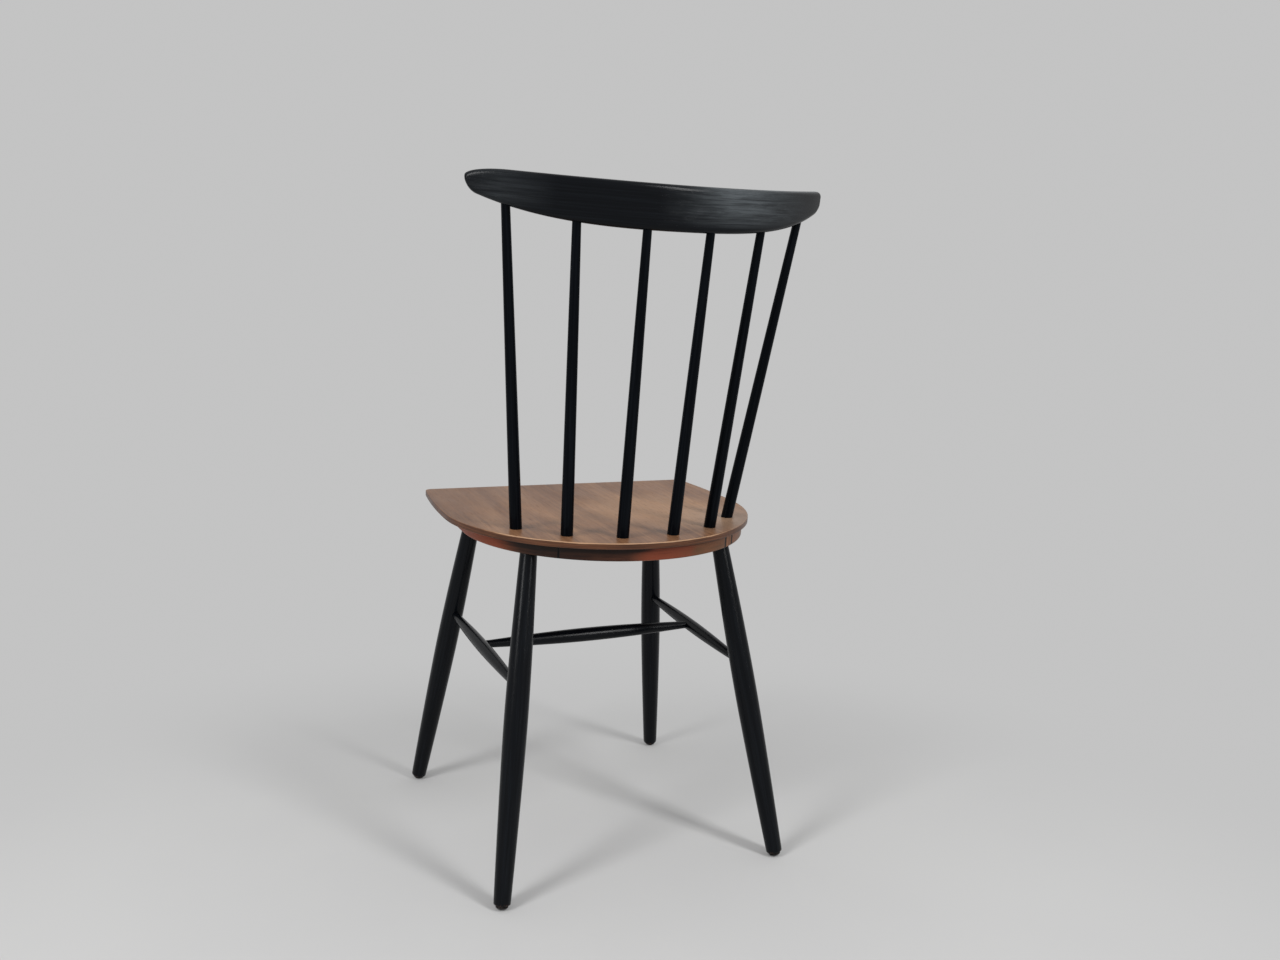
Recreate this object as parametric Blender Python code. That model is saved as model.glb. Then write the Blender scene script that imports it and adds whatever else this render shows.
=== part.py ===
"""Spindle-back chair: a thin seat panel on a bent rim, four splayed turned legs joined by
three stretchers, and a curved crest rail on six turned spindles.

The chair stands on z = 0 and faces -Y, with +Z up and sizes in metres. Its origin is on the
floor under the middle of its bounding box. The seat has a frame of its own: across, behind
the front edge along the seat, and above the seat's top face. Pieces that fit together take
their sizes from the same values and keep GLUE_GAP between them.
"""
import math

import bmesh
import bpy
import numpy as np
from mathutils import Matrix, Vector

# Clearance that every glued or driven joint keeps.
GLUE_GAP = 0.0003

# Seat panel: straight front, gently bowed sides, half an ellipse round the back.
SEAT_HEIGHT = 0.440
SEAT_TILT = math.radians(2.5)
SEAT_WIDTH = 0.404
SEAT_DEPTH = 0.332
SEAT_WIDEST_LINE = 0.142
SEAT_FRONT_NARROWING = 0.0105
SEAT_CORNER_RADIUS = 0.009
PANEL_THICKNESS = 0.0075
PANEL_ARRIS = 0.001
PANEL_OFFSET = 0.003

# Rim under the panel: a bent back piece, two bent side rails and a straight front rail.
# The rim and the panel are each a little off the chair's middle, to opposite sides, and the
# joint at -X is packed with a key.
RIM_OFFSET = -0.006
RIM_INSET = 0.015
RIM_WIDTH = 0.037
RIM_HEIGHT = 0.0190
RIM_EDGE_RADIUS = 0.0028
LEFT_JOINT_SHARE = 0.4173
RIGHT_JOINT_SHARE = 0.4027
JOINT_KEY_WIDTH = 0.0195
FRONT_RAIL_SETBACK = 0.006
FRONT_RAIL_DEPTH = 0.040
FRONT_RAIL_END_INSET = 0.006
FRONT_RAIL_CHAMFER_LENGTH = 0.017
FRONT_RAIL_CHAMFER_DROP = 0.011
FRONT_RAIL_ARRIS = 0.0015

# Legs: turned, swelling to a belly and tapering to the foot.
LEG_NECK_RADIUS = 0.0105
LEG_BELLY_RADIUS = 0.0143
LEG_FOOT_RADIUS = 0.0101
LEG_BELLY_DROP = 0.200
LEG_NECK_LENGTH = 0.005
LEG_TAPER_POWER = 1.42
LEG_FOOT_ROUNDING = 0.0018
LEG_SHOULDER_DEPTH = 0.004
LEG_TENON_RADIUS = 0.0070
LEG_TENON_DEPTH = 0.015
FRONT_LEG_END_DISTANCE = 0.0565
FRONT_LEG_RAKE = math.radians(12.0)
FRONT_LEG_SPLAY = math.radians(7.62)
BACK_LEG_SHARE = 0.5625
BACK_LEG_EDGE_DISTANCE = 0.0343
BACK_LEG_RAKE = math.radians(12.4)
BACK_LEG_SPLAY = math.radians(7.82)

# Glides: domed studs nailed into the leg ends, worn flat where they stand.
GLIDE_RADIUS = 0.0075
GLIDE_EDGE_HEIGHT = 0.0022
GLIDE_DOME_RADIUS = 0.010
GLIDE_FLAT_RADIUS = 0.0025
GLIDE_NAIL_RADIUS = 0.0010
GLIDE_NAIL_LENGTH = 0.014

# Stretchers: one down each side and one across between them.
SIDE_STRETCHER_FRONT_HEIGHT = 0.262
SIDE_STRETCHER_BACK_HEIGHT = 0.247
SIDE_STRETCHER_RADIUS = 0.00825
CROSS_STRETCHER_SETBACK = 0.1327
CROSS_STRETCHER_RADIUS = 0.0092
STRETCHER_TENON_RADIUS = 0.0050
STRETCHER_NECK_LENGTH = 0.003
STRETCHER_LEG_DEPTH = 0.014
STRETCHER_CROSS_DEPTH = 0.0095

# Spindles: thickest at the seat, fanned out towards the crest rail.
SPINDLE_COUNT = 6
SPINDLE_SEAT_RADIUS = 0.0074
SPINDLE_RAIL_RADIUS = 0.0050
SPINDLE_TAPER_POWER = 1.3
SPINDLE_EDGE_DISTANCE = 0.0289
SPINDLE_PITCH_SHARE = 0.2494
SPINDLE_RAIL_PITCH = 0.0781
SPINDLE_PANEL_DEPTH = 0.0056
SPINDLE_TENON_RADIUS = 0.0048
SPINDLE_RIM_DEPTH = 0.013
SPINDLE_RAIL_DEPTH = 0.020

# Crest rail: a plank bent to a parabola that leans back and lies a touch lower at +X, its
# lower edge rising to the ends and its top edge falling away at the +X end only.
RAIL_SETBACK = 0.3546
RAIL_BOTTOM_HEIGHT = 0.7782
RAIL_LEAN = math.radians(8.7)
RAIL_ROLL = math.radians(0.33)
RAIL_BEND_RADIUS = 0.2938
RAIL_HALF_LENGTH = 0.2403
RAIL_HEIGHT = 0.0501
RAIL_THICKNESS = 0.015
RAIL_END_RISE = 0.0262
RAIL_RISE_POWER = 3.15
RAIL_FALL_LENGTH = 0.048
RAIL_FALL_DROP = 0.0093
RAIL_TOP_CORNER = 0.0045
RAIL_BOTTOM_CORNER = 0.0135
RAIL_END_ROUNDING = 0.0045
RAIL_EDGE_RADIUS = 0.0060

# How finely round shapes are divided.
LEG_SIDES = 20
SPINDLE_SIDES = 16
STRETCHER_SIDES = 16
GLIDE_SIDES = 16
ARC_STEPS = 4

# Measures that follow from the sizes above.
SEAT_HALF_WIDTH = SEAT_WIDTH / 2
SEAT_BACK_REACH = SEAT_DEPTH - SEAT_WIDEST_LINE
SIDE_BOW_RADIUS = (SEAT_WIDEST_LINE ** 2 + SEAT_FRONT_NARROWING ** 2) / (2 * SEAT_FRONT_NARROWING)
RIM_TOP = -PANEL_THICKNESS - GLUE_GAP
RIM_BOTTOM = RIM_TOP - RIM_HEIGHT
FRONT_RAIL_BACK = FRONT_RAIL_SETBACK + FRONT_RAIL_DEPTH
SEAT_FRAME = Matrix.Translation((0, 0, SEAT_HEIGHT)) @ Matrix.Rotation(-SEAT_TILT, 4, "X")
RAIL_FRAME = (Matrix.Translation((0, RAIL_SETBACK, RAIL_BOTTOM_HEIGHT))
              @ Matrix.Rotation(-RAIL_LEAN, 4, "X") @ Matrix.Rotation(RAIL_ROLL, 4, "Y"))

# Finishes: colour, roughness and metallic value.
BLACK_LACQUER = ((0.012, 0.013, 0.015), 0.35, 0.0)
TEAK_VENEER = ((0.30, 0.19, 0.13), 0.40, 0.0)
BENT_PLYWOOD = ((0.20, 0.10, 0.05), 0.50, 0.0)
END_GRAIN = ((0.12, 0.07, 0.04), 0.60, 0.0)
DARK_STEEL = ((0.020, 0.018, 0.017), 0.40, 0.8)


# Outline of the seat panel

def ellipse_table():
    """Angles round a quarter of the seat's back, and the walk from its middle to each."""
    angles = np.linspace(0, math.pi / 2, 721)
    speed = np.hypot(SEAT_HALF_WIDTH * np.cos(angles), SEAT_BACK_REACH * np.sin(angles))
    steps = (speed[1:] + speed[:-1]) / 2 * np.diff(angles)
    return angles, np.concatenate([[0.0], np.cumsum(steps)])


ELLIPSE_ANGLES, ELLIPSE_WALKS = ellipse_table()
BACK_WALK = float(ELLIPSE_WALKS[-1])
LEFT_JOINT_WALK = BACK_WALK * LEFT_JOINT_SHARE
RIGHT_JOINT_WALK = -BACK_WALK * RIGHT_JOINT_SHARE
BACK_LEG_REACH = BACK_WALK * BACK_LEG_SHARE
SPINDLE_SEAT_PITCH = BACK_WALK * SPINDLE_PITCH_SHARE
SIDE_WALK = SIDE_BOW_RADIUS * math.asin(SEAT_WIDEST_LINE / SIDE_BOW_RADIUS)


def edge_station(walk):
    """Point and outward direction on the panel's outline, in the seat's plane.

    walk is the distance along the outline from the middle of the back, positive to +X.
    """
    length = abs(walk)
    if length <= BACK_WALK:
        angle = float(np.interp(length, ELLIPSE_WALKS, ELLIPSE_ANGLES))
        across = SEAT_HALF_WIDTH * math.sin(angle)
        point = Vector((across, SEAT_WIDEST_LINE + SEAT_BACK_REACH * math.cos(angle)))
        outward = Vector((math.sin(angle) / SEAT_HALF_WIDTH, math.cos(angle) / SEAT_BACK_REACH))
    else:
        angle = (length - BACK_WALK) / SIDE_BOW_RADIUS
        outward = Vector((math.cos(angle), -math.sin(angle)))
        centre = Vector((SEAT_HALF_WIDTH - SIDE_BOW_RADIUS, SEAT_WIDEST_LINE))
        point = centre + outward * SIDE_BOW_RADIUS
    outward.normalize()
    side = math.copysign(1.0, walk)
    return Vector((point.x * side, point.y)), Vector((outward.x * side, outward.y))


def side_reach(back, inset):
    """How far across the bowed side lies, inset from the outline, at a distance behind the front."""
    radius = SIDE_BOW_RADIUS - inset
    return SEAT_HALF_WIDTH - SIDE_BOW_RADIUS + math.sqrt(radius ** 2 - (back - SEAT_WIDEST_LINE) ** 2)


def rounded_corner(before, corner, after, radius):
    """Points of the arc that replaces a corner between two straight runs."""
    to_before = (before - corner).normalized()
    to_after = (after - corner).normalized()
    half_angle = to_before.angle(to_after) / 2
    centre = corner + (to_before + to_after).normalized() * (radius / math.sin(half_angle))
    start = corner + to_before * (radius / math.tan(half_angle)) - centre
    sweep = start.angle_signed(corner + to_after * (radius / math.tan(half_angle)) - centre)
    points = []
    for step in range(ARC_STEPS + 1):
        turn = -sweep * step / ARC_STEPS
        points.append(centre + Matrix.Rotation(turn, 2) @ start)
    return points


def panel_outline():
    """Outline of the panel, from the front corner at +X round the back to the one at -X."""
    walks = []
    side_steps, back_steps = 5, 24
    for step in range(side_steps):
        walks.append(BACK_WALK + SIDE_WALK * (1 - step / side_steps))
    for step in range(back_steps + 1):
        walks.append(BACK_WALK * (1 - step / back_steps))
    half = [edge_station(walk)[0] for walk in walks]
    left_corner = Vector((-half[0].x, half[0].y))
    corner = rounded_corner(left_corner, half[0], half[1], SEAT_CORNER_RADIUS)
    right = corner + half[1:]
    left = [Vector((-point.x, point.y)) for point in reversed(right[:-1])]
    return [point + Vector((PANEL_OFFSET, 0)) for point in right + left]


# Meshes and objects

def finish_mesh(bm, name):
    """Turns a closed bmesh into a smooth-shaded mesh with sharp arrises."""
    bmesh.ops.recalc_face_normals(bm, faces=bm.faces)
    mesh = bpy.data.meshes.new(name)
    bm.to_mesh(mesh)
    bm.free()
    mesh.shade_smooth()
    mesh.set_sharp_from_angle(angle=math.radians(35))
    return mesh


def skin(name, rings):
    """Mesh of a solid skinned over a row of rings, with a face at each end."""
    bm = bmesh.new()
    rows = [[bm.verts.new(point) for point in ring] for ring in rings]
    count = len(rows[0])
    for low, high in zip(rows, rows[1:]):
        for index in range(count):
            following = (index + 1) % count
            bm.faces.new((low[index], low[following], high[following], high[index]))
    bm.faces.new(rows[0])
    bm.faces.new(rows[-1])
    return finish_mesh(bm, name)


def slab(name, outline, top, bottom):
    """Mesh of an upright prism over an outline in the plane."""
    rings = [[(point.x, point.y, height) for point in outline] for height in (bottom, top)]
    return skin(name, rings)


def turned(name, profile, sides):
    """Mesh turned about +Z from (radius, height) pairs that run along the piece."""
    rings = []
    for radius, height in profile:
        ring = []
        for index in range(sides):
            angle = 2 * math.pi * index / sides
            ring.append((radius * math.cos(angle), radius * math.sin(angle), height))
        rings.append(ring)
    return skin(name, rings)


def along(start, end):
    """Matrix that puts +Z on the line from start to end, with the origin at start."""
    turn = (end - start).to_track_quat("Z", "Y")
    return Matrix.Translation(start) @ turn.to_matrix().to_4x4()


def make_material(name, finish):
    """Principled material of one piece."""
    colour, roughness, metallic = finish
    material = bpy.data.materials.new(name)
    material.use_nodes = True
    shader = material.node_tree.nodes["Principled BSDF"]
    shader.inputs["Base Color"].default_value = (*colour, 1.0)
    shader.inputs["Roughness"].default_value = roughness
    shader.inputs["Metallic"].default_value = metallic
    return material


def add_piece(name, mesh, matrix, chair, finish):
    """Adds one physical piece of the chair."""
    piece = bpy.data.objects.new(name, mesh)
    bpy.context.collection.objects.link(piece)
    piece.parent = chair
    piece.matrix_world = matrix
    mesh.materials.append(make_material(name, finish))
    return piece


def cut_socket(piece, label, axis, radius, depths, sides, chair):
    """Cuts a round hole along an axis, from one depth to another, into a piece.

    The cutter has the facets of the tenon that goes in, so GLUE_GAP is left all round.
    """
    clear_radius = radius + GLUE_GAP / math.cos(math.pi / sides)
    mesh = turned(label, [(clear_radius, depths[0]), (clear_radius, depths[1])], sides)
    cutter = bpy.data.objects.new(label, mesh)
    bpy.context.collection.objects.link(cutter)
    cutter.parent = chair
    cutter.matrix_world = axis
    cutter.hide_render = True
    cutter.display_type = "WIRE"
    boolean = piece.modifiers.new(label, "BOOLEAN")
    boolean.operation = "DIFFERENCE"
    boolean.solver = "EXACT"
    boolean.object = cutter


def soften_arrises(piece, width):
    """Rounds the sharp edges of a sawn piece."""
    bevel = piece.modifiers.new("arris", "BEVEL")
    bevel.width = width
    bevel.segments = 2
    bevel.limit_method = "ANGLE"
    bevel.angle_limit = math.radians(50)


# Seat

def seat_panel(chair):
    """Thin flat panel that is sat on."""
    mesh = slab("seat_panel", panel_outline(), 0, -PANEL_THICKNESS)
    panel = add_piece("seat_panel", mesh, SEAT_FRAME, chair, TEAK_VENEER)
    soften_arrises(panel, PANEL_ARRIS)
    return panel


def rim_profile():
    """Section of the bent rim as (inset from the outline, height over the seat's top)."""
    outer, inner = RIM_INSET, RIM_INSET + RIM_WIDTH
    section = [(inner, RIM_BOTTOM), (inner, RIM_TOP), (outer, RIM_TOP)]
    for step in range(ARC_STEPS + 1):
        angle = math.pi / 2 * step / ARC_STEPS
        inset = outer + RIM_EDGE_RADIUS * (1 - math.cos(angle))
        section.append((inset, RIM_BOTTOM + RIM_EDGE_RADIUS * (1 - math.sin(angle))))
    return section


def square_ring(walk, shift):
    """Section of the rim square to the outline at a walk, shifted along it by shift."""
    point, outward = edge_station(walk)
    ahead = Vector((outward.y, -outward.x))
    ring = []
    for inset, height in rim_profile():
        place = point - outward * inset + ahead * shift
        ring.append((place.x + RIM_OFFSET, place.y, height))
    return ring


def bent_rim(name, start, end, steps, chair, finish):
    """One bent length of the rim between two walks, half a gap short at each end."""
    rings = []
    for step in range(steps + 1):
        shift = GLUE_GAP / 2 * {0: 1, steps: -1}.get(step, 0)
        rings.append(square_ring(start + (end - start) * step / steps, shift))
    return add_piece(name, skin(name, rings), SEAT_FRAME, chair, finish)


def side_rail(name, side, first_walk, chair):
    """Bent side rail, from a walk along the outline forward to the front rail's back face."""
    end = FRONT_RAIL_BACK + GLUE_GAP
    inner_radius = SIDE_BOW_RADIUS - RIM_INSET - RIM_WIDTH
    last_turn = math.asin((SEAT_WIDEST_LINE - end - RIM_WIDTH / 2) / inner_radius)
    last_walk = BACK_WALK + SIDE_BOW_RADIUS * last_turn
    steps = 14
    rings = []
    for step in range(steps + 1):
        shift = GLUE_GAP / 2 * side if step == 0 else 0
        walk = first_walk + (last_walk - first_walk) * step / steps
        rings.append(square_ring(walk * side, shift))
    front_end = []
    for inset, height in rim_profile():
        front_end.append((side_reach(end, inset) * side + RIM_OFFSET, end, height))
    rings.append(front_end)
    return add_piece(name, skin(name, rings), SEAT_FRAME, chair, BENT_PLYWOOD)


def front_rail_ring(from_end, side):
    """Section of the front rail at a distance from one of its ends, which follow the panel."""
    low = RIM_BOTTOM + FRONT_RAIL_CHAMFER_DROP * (1 - from_end / FRONT_RAIL_CHAMFER_LENGTH)
    edge = []
    for step in range(ARC_STEPS + 1):
        back = FRONT_RAIL_SETBACK + FRONT_RAIL_DEPTH * step / ARC_STEPS
        across = side_reach(back, FRONT_RAIL_END_INSET) - from_end
        edge.append((across * side + PANEL_OFFSET, back))
    bottom = [(x, y, low) for x, y in edge]
    top = [(x, y, RIM_TOP) for x, y in reversed(edge)]
    return bottom + top


def front_rail(chair):
    """Straight rail under the front edge, its ends chamfered underneath."""
    rings = []
    for side, distances in ((-1, (0, FRONT_RAIL_CHAMFER_LENGTH)), (1, (FRONT_RAIL_CHAMFER_LENGTH, 0))):
        rings += [front_rail_ring(distance, side) for distance in distances]
    rail = add_piece("rim_front", skin("rim_front", rings), SEAT_FRAME, chair, BLACK_LACQUER)
    soften_arrises(rail, FRONT_RAIL_ARRIS)
    return rail


# Legs

class LegAxis:
    """Axis of one leg, from the middle of its socket's mouth down to the floor."""

    def __init__(self, mouth, rake, splay):
        """mouth is a point of the rim's underside; rake is signed, positive to the back."""
        self.mouth = mouth
        sideways = math.copysign(math.tan(splay), mouth.x)
        self.floor = mouth + Vector((sideways, math.tan(rake), -1.0)) * mouth.z
        self.up = (self.mouth - self.floor).normalized()
        dome_centre = math.sqrt(GLIDE_DOME_RADIUS ** 2 - GLIDE_FLAT_RADIUS ** 2)
        glide_top = math.sqrt(GLIDE_DOME_RADIUS ** 2 - GLIDE_RADIUS ** 2) - GLIDE_EDGE_HEIGHT
        end_height = dome_centre - (glide_top - GLUE_GAP) * self.up.z
        self.end = self.at_height(end_height)
        self.length = (self.mouth - self.end).length

    def at_height(self, height):
        """Point of the axis at a height over the floor."""
        return self.floor + self.up * (height / self.up.z)

    def radius(self, drop):
        """Radius of the leg at a distance along the axis below the socket's mouth."""
        if drop <= LEG_NECK_LENGTH:
            return LEG_NECK_RADIUS
        if drop <= LEG_BELLY_DROP:
            swell = math.sin(math.pi / 2 * (drop - LEG_NECK_LENGTH) / (LEG_BELLY_DROP - LEG_NECK_LENGTH))
            return LEG_NECK_RADIUS + (LEG_BELLY_RADIUS - LEG_NECK_RADIUS) * swell
        share = min(1.0, (drop - LEG_BELLY_DROP) / (self.length - LEG_BELLY_DROP))
        return LEG_FOOT_RADIUS + (LEG_BELLY_RADIUS - LEG_FOOT_RADIUS) * (1 - share ** LEG_TAPER_POWER)

    def radius_at(self, height):
        """Radius of the leg where its axis is at a height over the floor."""
        return self.radius((self.mouth - self.at_height(height)).length)

    def matrix(self):
        """Frame of the leg: origin at the foot end, +Z up the leg."""
        return along(self.end, self.mouth)


def leg_axes():
    """The four leg axes by name."""
    back_at = FRONT_RAIL_SETBACK + FRONT_RAIL_DEPTH / 2
    front_across = side_reach(back_at, FRONT_RAIL_END_INSET) - FRONT_LEG_END_DISTANCE
    axes = {}
    for side, label in ((1, "left"), (-1, "right")):
        mouth = SEAT_FRAME @ Vector((front_across * side, back_at, RIM_BOTTOM))
        axes["front_" + label] = LegAxis(mouth, -FRONT_LEG_RAKE, FRONT_LEG_SPLAY)
        point, outward = edge_station(BACK_LEG_REACH * side)
        place = point - outward * BACK_LEG_EDGE_DISTANCE
        mouth = SEAT_FRAME @ Vector((place.x, place.y, RIM_BOTTOM))
        axes["back_" + label] = LegAxis(mouth, BACK_LEG_RAKE, BACK_LEG_SPLAY)
    return axes


def leg_profile(axis):
    """Turned profile of a leg, from its rounded foot end up to the end of its tenon."""
    profile = []
    for step in range(ARC_STEPS):
        angle = math.pi / 2 * step / (ARC_STEPS - 1)
        radius = LEG_FOOT_RADIUS - LEG_FOOT_ROUNDING * (1 - math.sin(angle))
        profile.append((radius, LEG_FOOT_ROUNDING * (1 - math.cos(angle))))
    steps = 14
    lowest = axis.length - LEG_FOOT_ROUNDING
    for step in range(1, steps):
        drop = lowest + (LEG_NECK_LENGTH - lowest) * step / steps
        profile.append((axis.radius(drop), axis.length - drop))
    shoulder = axis.length + LEG_SHOULDER_DEPTH
    profile.append((LEG_NECK_RADIUS, axis.length - LEG_NECK_LENGTH))
    profile.append((LEG_NECK_RADIUS, shoulder))
    profile.append((LEG_TENON_RADIUS, shoulder))
    profile.append((LEG_TENON_RADIUS, axis.length + LEG_TENON_DEPTH))
    return profile


def add_leg(label, axis, rim, chair):
    """One leg and its stepped socket in the rim."""
    name = "leg_" + label
    mesh = turned(name, leg_profile(axis), LEG_SIDES)
    leg = add_piece(name, mesh, axis.matrix(), chair, BLACK_LACQUER)
    below = axis.length - LEG_NECK_LENGTH
    mouth_depths = (below, axis.length + LEG_SHOULDER_DEPTH + GLUE_GAP)
    cut_socket(rim, name + "_mouth", axis.matrix(), LEG_NECK_RADIUS, mouth_depths, LEG_SIDES, chair)
    tenon_depths = (below, axis.length + LEG_TENON_DEPTH + GLUE_GAP)
    cut_socket(rim, name + "_socket", axis.matrix(), LEG_TENON_RADIUS, tenon_depths, LEG_SIDES, chair)
    return leg


def glide_profile():
    """Profile of a glide in its leg's frame, from the dome up to the nail's point."""
    edge_low = -GLUE_GAP - GLIDE_EDGE_HEIGHT
    centre = edge_low + math.sqrt(GLIDE_DOME_RADIUS ** 2 - GLIDE_RADIUS ** 2)
    rim_angle = math.asin(GLIDE_RADIUS / GLIDE_DOME_RADIUS)
    profile = []
    dome_steps = 6
    for step in range(1, dome_steps + 1):
        angle = rim_angle * step / dome_steps
        radius = GLIDE_DOME_RADIUS * math.sin(angle)
        profile.append((radius, centre - GLIDE_DOME_RADIUS * math.cos(angle)))
    profile.append((GLIDE_RADIUS, -GLUE_GAP))
    profile.append((GLIDE_NAIL_RADIUS, -GLUE_GAP))
    profile.append((GLIDE_NAIL_RADIUS, GLIDE_NAIL_LENGTH))
    return profile


def add_glide(label, axis, leg, chair):
    """Domed glide under one leg, worn flat at the floor, with its nail in the leg."""
    name = "foot_glide_" + label
    matrix = axis.matrix()
    mesh = turned(name, glide_profile(), GLIDE_SIDES)
    to_local = matrix.inverted()
    down = to_local.to_3x3() @ Vector((0, 0, -1))
    bm = bmesh.new()
    bm.from_mesh(mesh)
    parts = [*bm.verts, *bm.edges, *bm.faces]
    bmesh.ops.bisect_plane(bm, geom=parts, plane_co=to_local.translation, plane_no=down, clear_outer=True)
    bmesh.ops.holes_fill(bm, edges=bm.edges)
    glide = add_piece(name, finish_mesh(bm, name), matrix, chair, DARK_STEEL)
    bpy.data.meshes.remove(mesh)
    depths = (-GLIDE_EDGE_HEIGHT, GLIDE_NAIL_LENGTH + GLUE_GAP)
    cut_socket(leg, name + "_hole", matrix, GLIDE_NAIL_RADIUS, depths, GLIDE_SIDES, chair)
    return glide


# Stretchers

def stretcher_profile(length, start_bury, end_bury, belly):
    """Cigar profile between two hosts, with a plain tenon buried at each end."""
    start, end = start_bury + STRETCHER_NECK_LENGTH, length - end_bury - STRETCHER_NECK_LENGTH
    profile = [(STRETCHER_TENON_RADIUS, 0.0)]
    steps = 12
    for step in range(steps + 1):
        swell = math.sin(math.pi * step / steps)
        radius = STRETCHER_TENON_RADIUS + (belly - STRETCHER_TENON_RADIUS) * swell
        profile.append((radius, start + (end - start) * step / steps))
    profile.append((STRETCHER_TENON_RADIUS, length))
    return profile


def add_stretcher(name, start, end, belly, chair):
    """Stretcher between two hosts, each given as (piece, axis point, radius, depth)."""
    start_host, start_point, start_radius, start_depth = start
    end_host, end_point, end_radius, end_depth = end
    direction = (end_point - start_point).normalized()
    first = start_point + direction * (start_radius - start_depth)
    last = end_point - direction * (end_radius - end_depth)
    length = (last - first).length
    mesh = turned(name, stretcher_profile(length, start_depth, end_depth, belly), STRETCHER_SIDES)
    matrix = along(first, last)
    stretcher = add_piece(name, mesh, matrix, chair, BLACK_LACQUER)
    clear_start = start_depth + STRETCHER_NECK_LENGTH
    clear_end = end_depth + STRETCHER_NECK_LENGTH
    cut_socket(start_host, name + "_start", matrix, STRETCHER_TENON_RADIUS, (-GLUE_GAP, clear_start),
               STRETCHER_SIDES, chair)
    cut_socket(end_host, name + "_end", matrix, STRETCHER_TENON_RADIUS,
               (length - clear_end, length + GLUE_GAP), STRETCHER_SIDES, chair)
    return stretcher


def add_stretchers(legs, axes, chair):
    """Side stretchers between front and back legs, and the cross stretcher between them."""
    hosts = []
    for label in ("left", "right"):
        ends = []
        for place, height in (("front_", SIDE_STRETCHER_FRONT_HEIGHT), ("back_", SIDE_STRETCHER_BACK_HEIGHT)):
            axis = axes[place + label]
            ends.append((legs[place + label], axis.at_height(height), axis.radius_at(height),
                         STRETCHER_LEG_DEPTH))
        stretcher = add_stretcher("side_stretcher_" + label, ends[0], ends[1], SIDE_STRETCHER_RADIUS, chair)
        run = ends[1][1] - ends[0][1]
        point = ends[0][1] + run.normalized() * CROSS_STRETCHER_SETBACK
        hosts.append((stretcher, point, SIDE_STRETCHER_RADIUS, STRETCHER_CROSS_DEPTH))
    return add_stretcher("cross_stretcher", hosts[0], hosts[1], CROSS_STRETCHER_RADIUS, chair)


# Back

def rail_lower_edge(arc):
    """Height of the rail's lower edge over its lowest point, at an arc from the middle."""
    return RAIL_END_RISE * (abs(arc) / RAIL_HALF_LENGTH) ** RAIL_RISE_POWER


def corner_loss(distance, length, drop):
    """How much an elliptic corner takes off, at a distance from the end it rounds."""
    if distance >= length:
        return 0.0
    return drop * (1 - math.sqrt(1 - ((length - distance) / length) ** 2))


def bend_table():
    """Places across a parabola, and the walk along it from its middle to each."""
    places = np.linspace(0, RAIL_HALF_LENGTH, 601)
    slopes = places / RAIL_BEND_RADIUS
    walks = (places * np.hypot(1, slopes) + RAIL_BEND_RADIUS * np.arcsinh(slopes)) / 2
    return places, walks


BEND_PLACES, BEND_WALKS = bend_table()


def rail_point(arc, outward, height):
    """Point of the rail's frame at an arc along the bend, a distance outward and up.

    The bend is a parabola: tightest in the middle and straighter towards the ends.
    """
    across = math.copysign(float(np.interp(abs(arc), BEND_WALKS, BEND_PLACES)), arc)
    middle = Vector((across, -across ** 2 / (2 * RAIL_BEND_RADIUS), height))
    away = Vector((across / RAIL_BEND_RADIUS, 1, 0)).normalized()
    return middle + away * outward


def rail_ring(arc):
    """Section of the crest rail at an arc: a rectangle with round corners."""
    from_end = RAIL_HALF_LENGTH - abs(arc)
    half = RAIL_THICKNESS / 2 - corner_loss(from_end, RAIL_END_ROUNDING, RAIL_END_ROUNDING)
    low = rail_lower_edge(arc) + corner_loss(from_end, RAIL_BOTTOM_CORNER, RAIL_BOTTOM_CORNER)
    top_length, top_drop = (RAIL_FALL_LENGTH, RAIL_FALL_DROP) if arc > 0 else (RAIL_TOP_CORNER, RAIL_TOP_CORNER)
    high = RAIL_HEIGHT - corner_loss(from_end, top_length, top_drop)
    radius = min(RAIL_EDGE_RADIUS, half * 0.9, (high - low) * 0.45)
    ring = []
    for turn, outward, height in ((0, half - radius, high - radius), (1, -half + radius, high - radius),
                                  (2, -half + radius, low + radius), (3, half - radius, low + radius)):
        for step in range(ARC_STEPS):
            angle = math.pi / 2 * (turn + step / (ARC_STEPS - 1))
            ring.append(rail_point(arc, outward + radius * math.cos(angle),
                                   height + radius * math.sin(angle)))
    return ring


def crest_rail(chair):
    """Curved plank that the spindles carry."""
    end_reach = RAIL_BOTTOM_CORNER
    end_steps, run_steps = 6, 32
    arcs = []
    for step in range(end_steps):
        arcs.append(RAIL_HALF_LENGTH - end_reach * (1 - math.cos(math.pi / 2 * step / end_steps)))
    run = RAIL_HALF_LENGTH - end_reach
    for step in range(run_steps // 2 + 1):
        arcs.append(run * (1 - 2 * step / run_steps))
    arcs += [-arc for arc in reversed(arcs[:-1])]
    mesh = skin("crest_rail", [rail_ring(arc) for arc in arcs])
    return add_piece("crest_rail", mesh, RAIL_FRAME, chair, BLACK_LACQUER)


def spindle_profile(mouth, rail_mouth, length):
    """Profile of a spindle whose seat and rail ends leave their holes at mouth and rail_mouth."""
    shoulder = mouth - SPINDLE_PANEL_DEPTH
    profile = [(SPINDLE_TENON_RADIUS, 0.0), (SPINDLE_TENON_RADIUS, shoulder), (SPINDLE_SEAT_RADIUS, shoulder)]
    steps = 8
    for step in range(steps + 1):
        share = step / steps
        taper = 1 - share ** SPINDLE_TAPER_POWER
        radius = SPINDLE_RAIL_RADIUS + (SPINDLE_SEAT_RADIUS - SPINDLE_RAIL_RADIUS) * taper
        profile.append((radius, mouth + (rail_mouth - mouth) * share))
    profile.append((SPINDLE_RAIL_RADIUS, length))
    return profile


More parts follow.
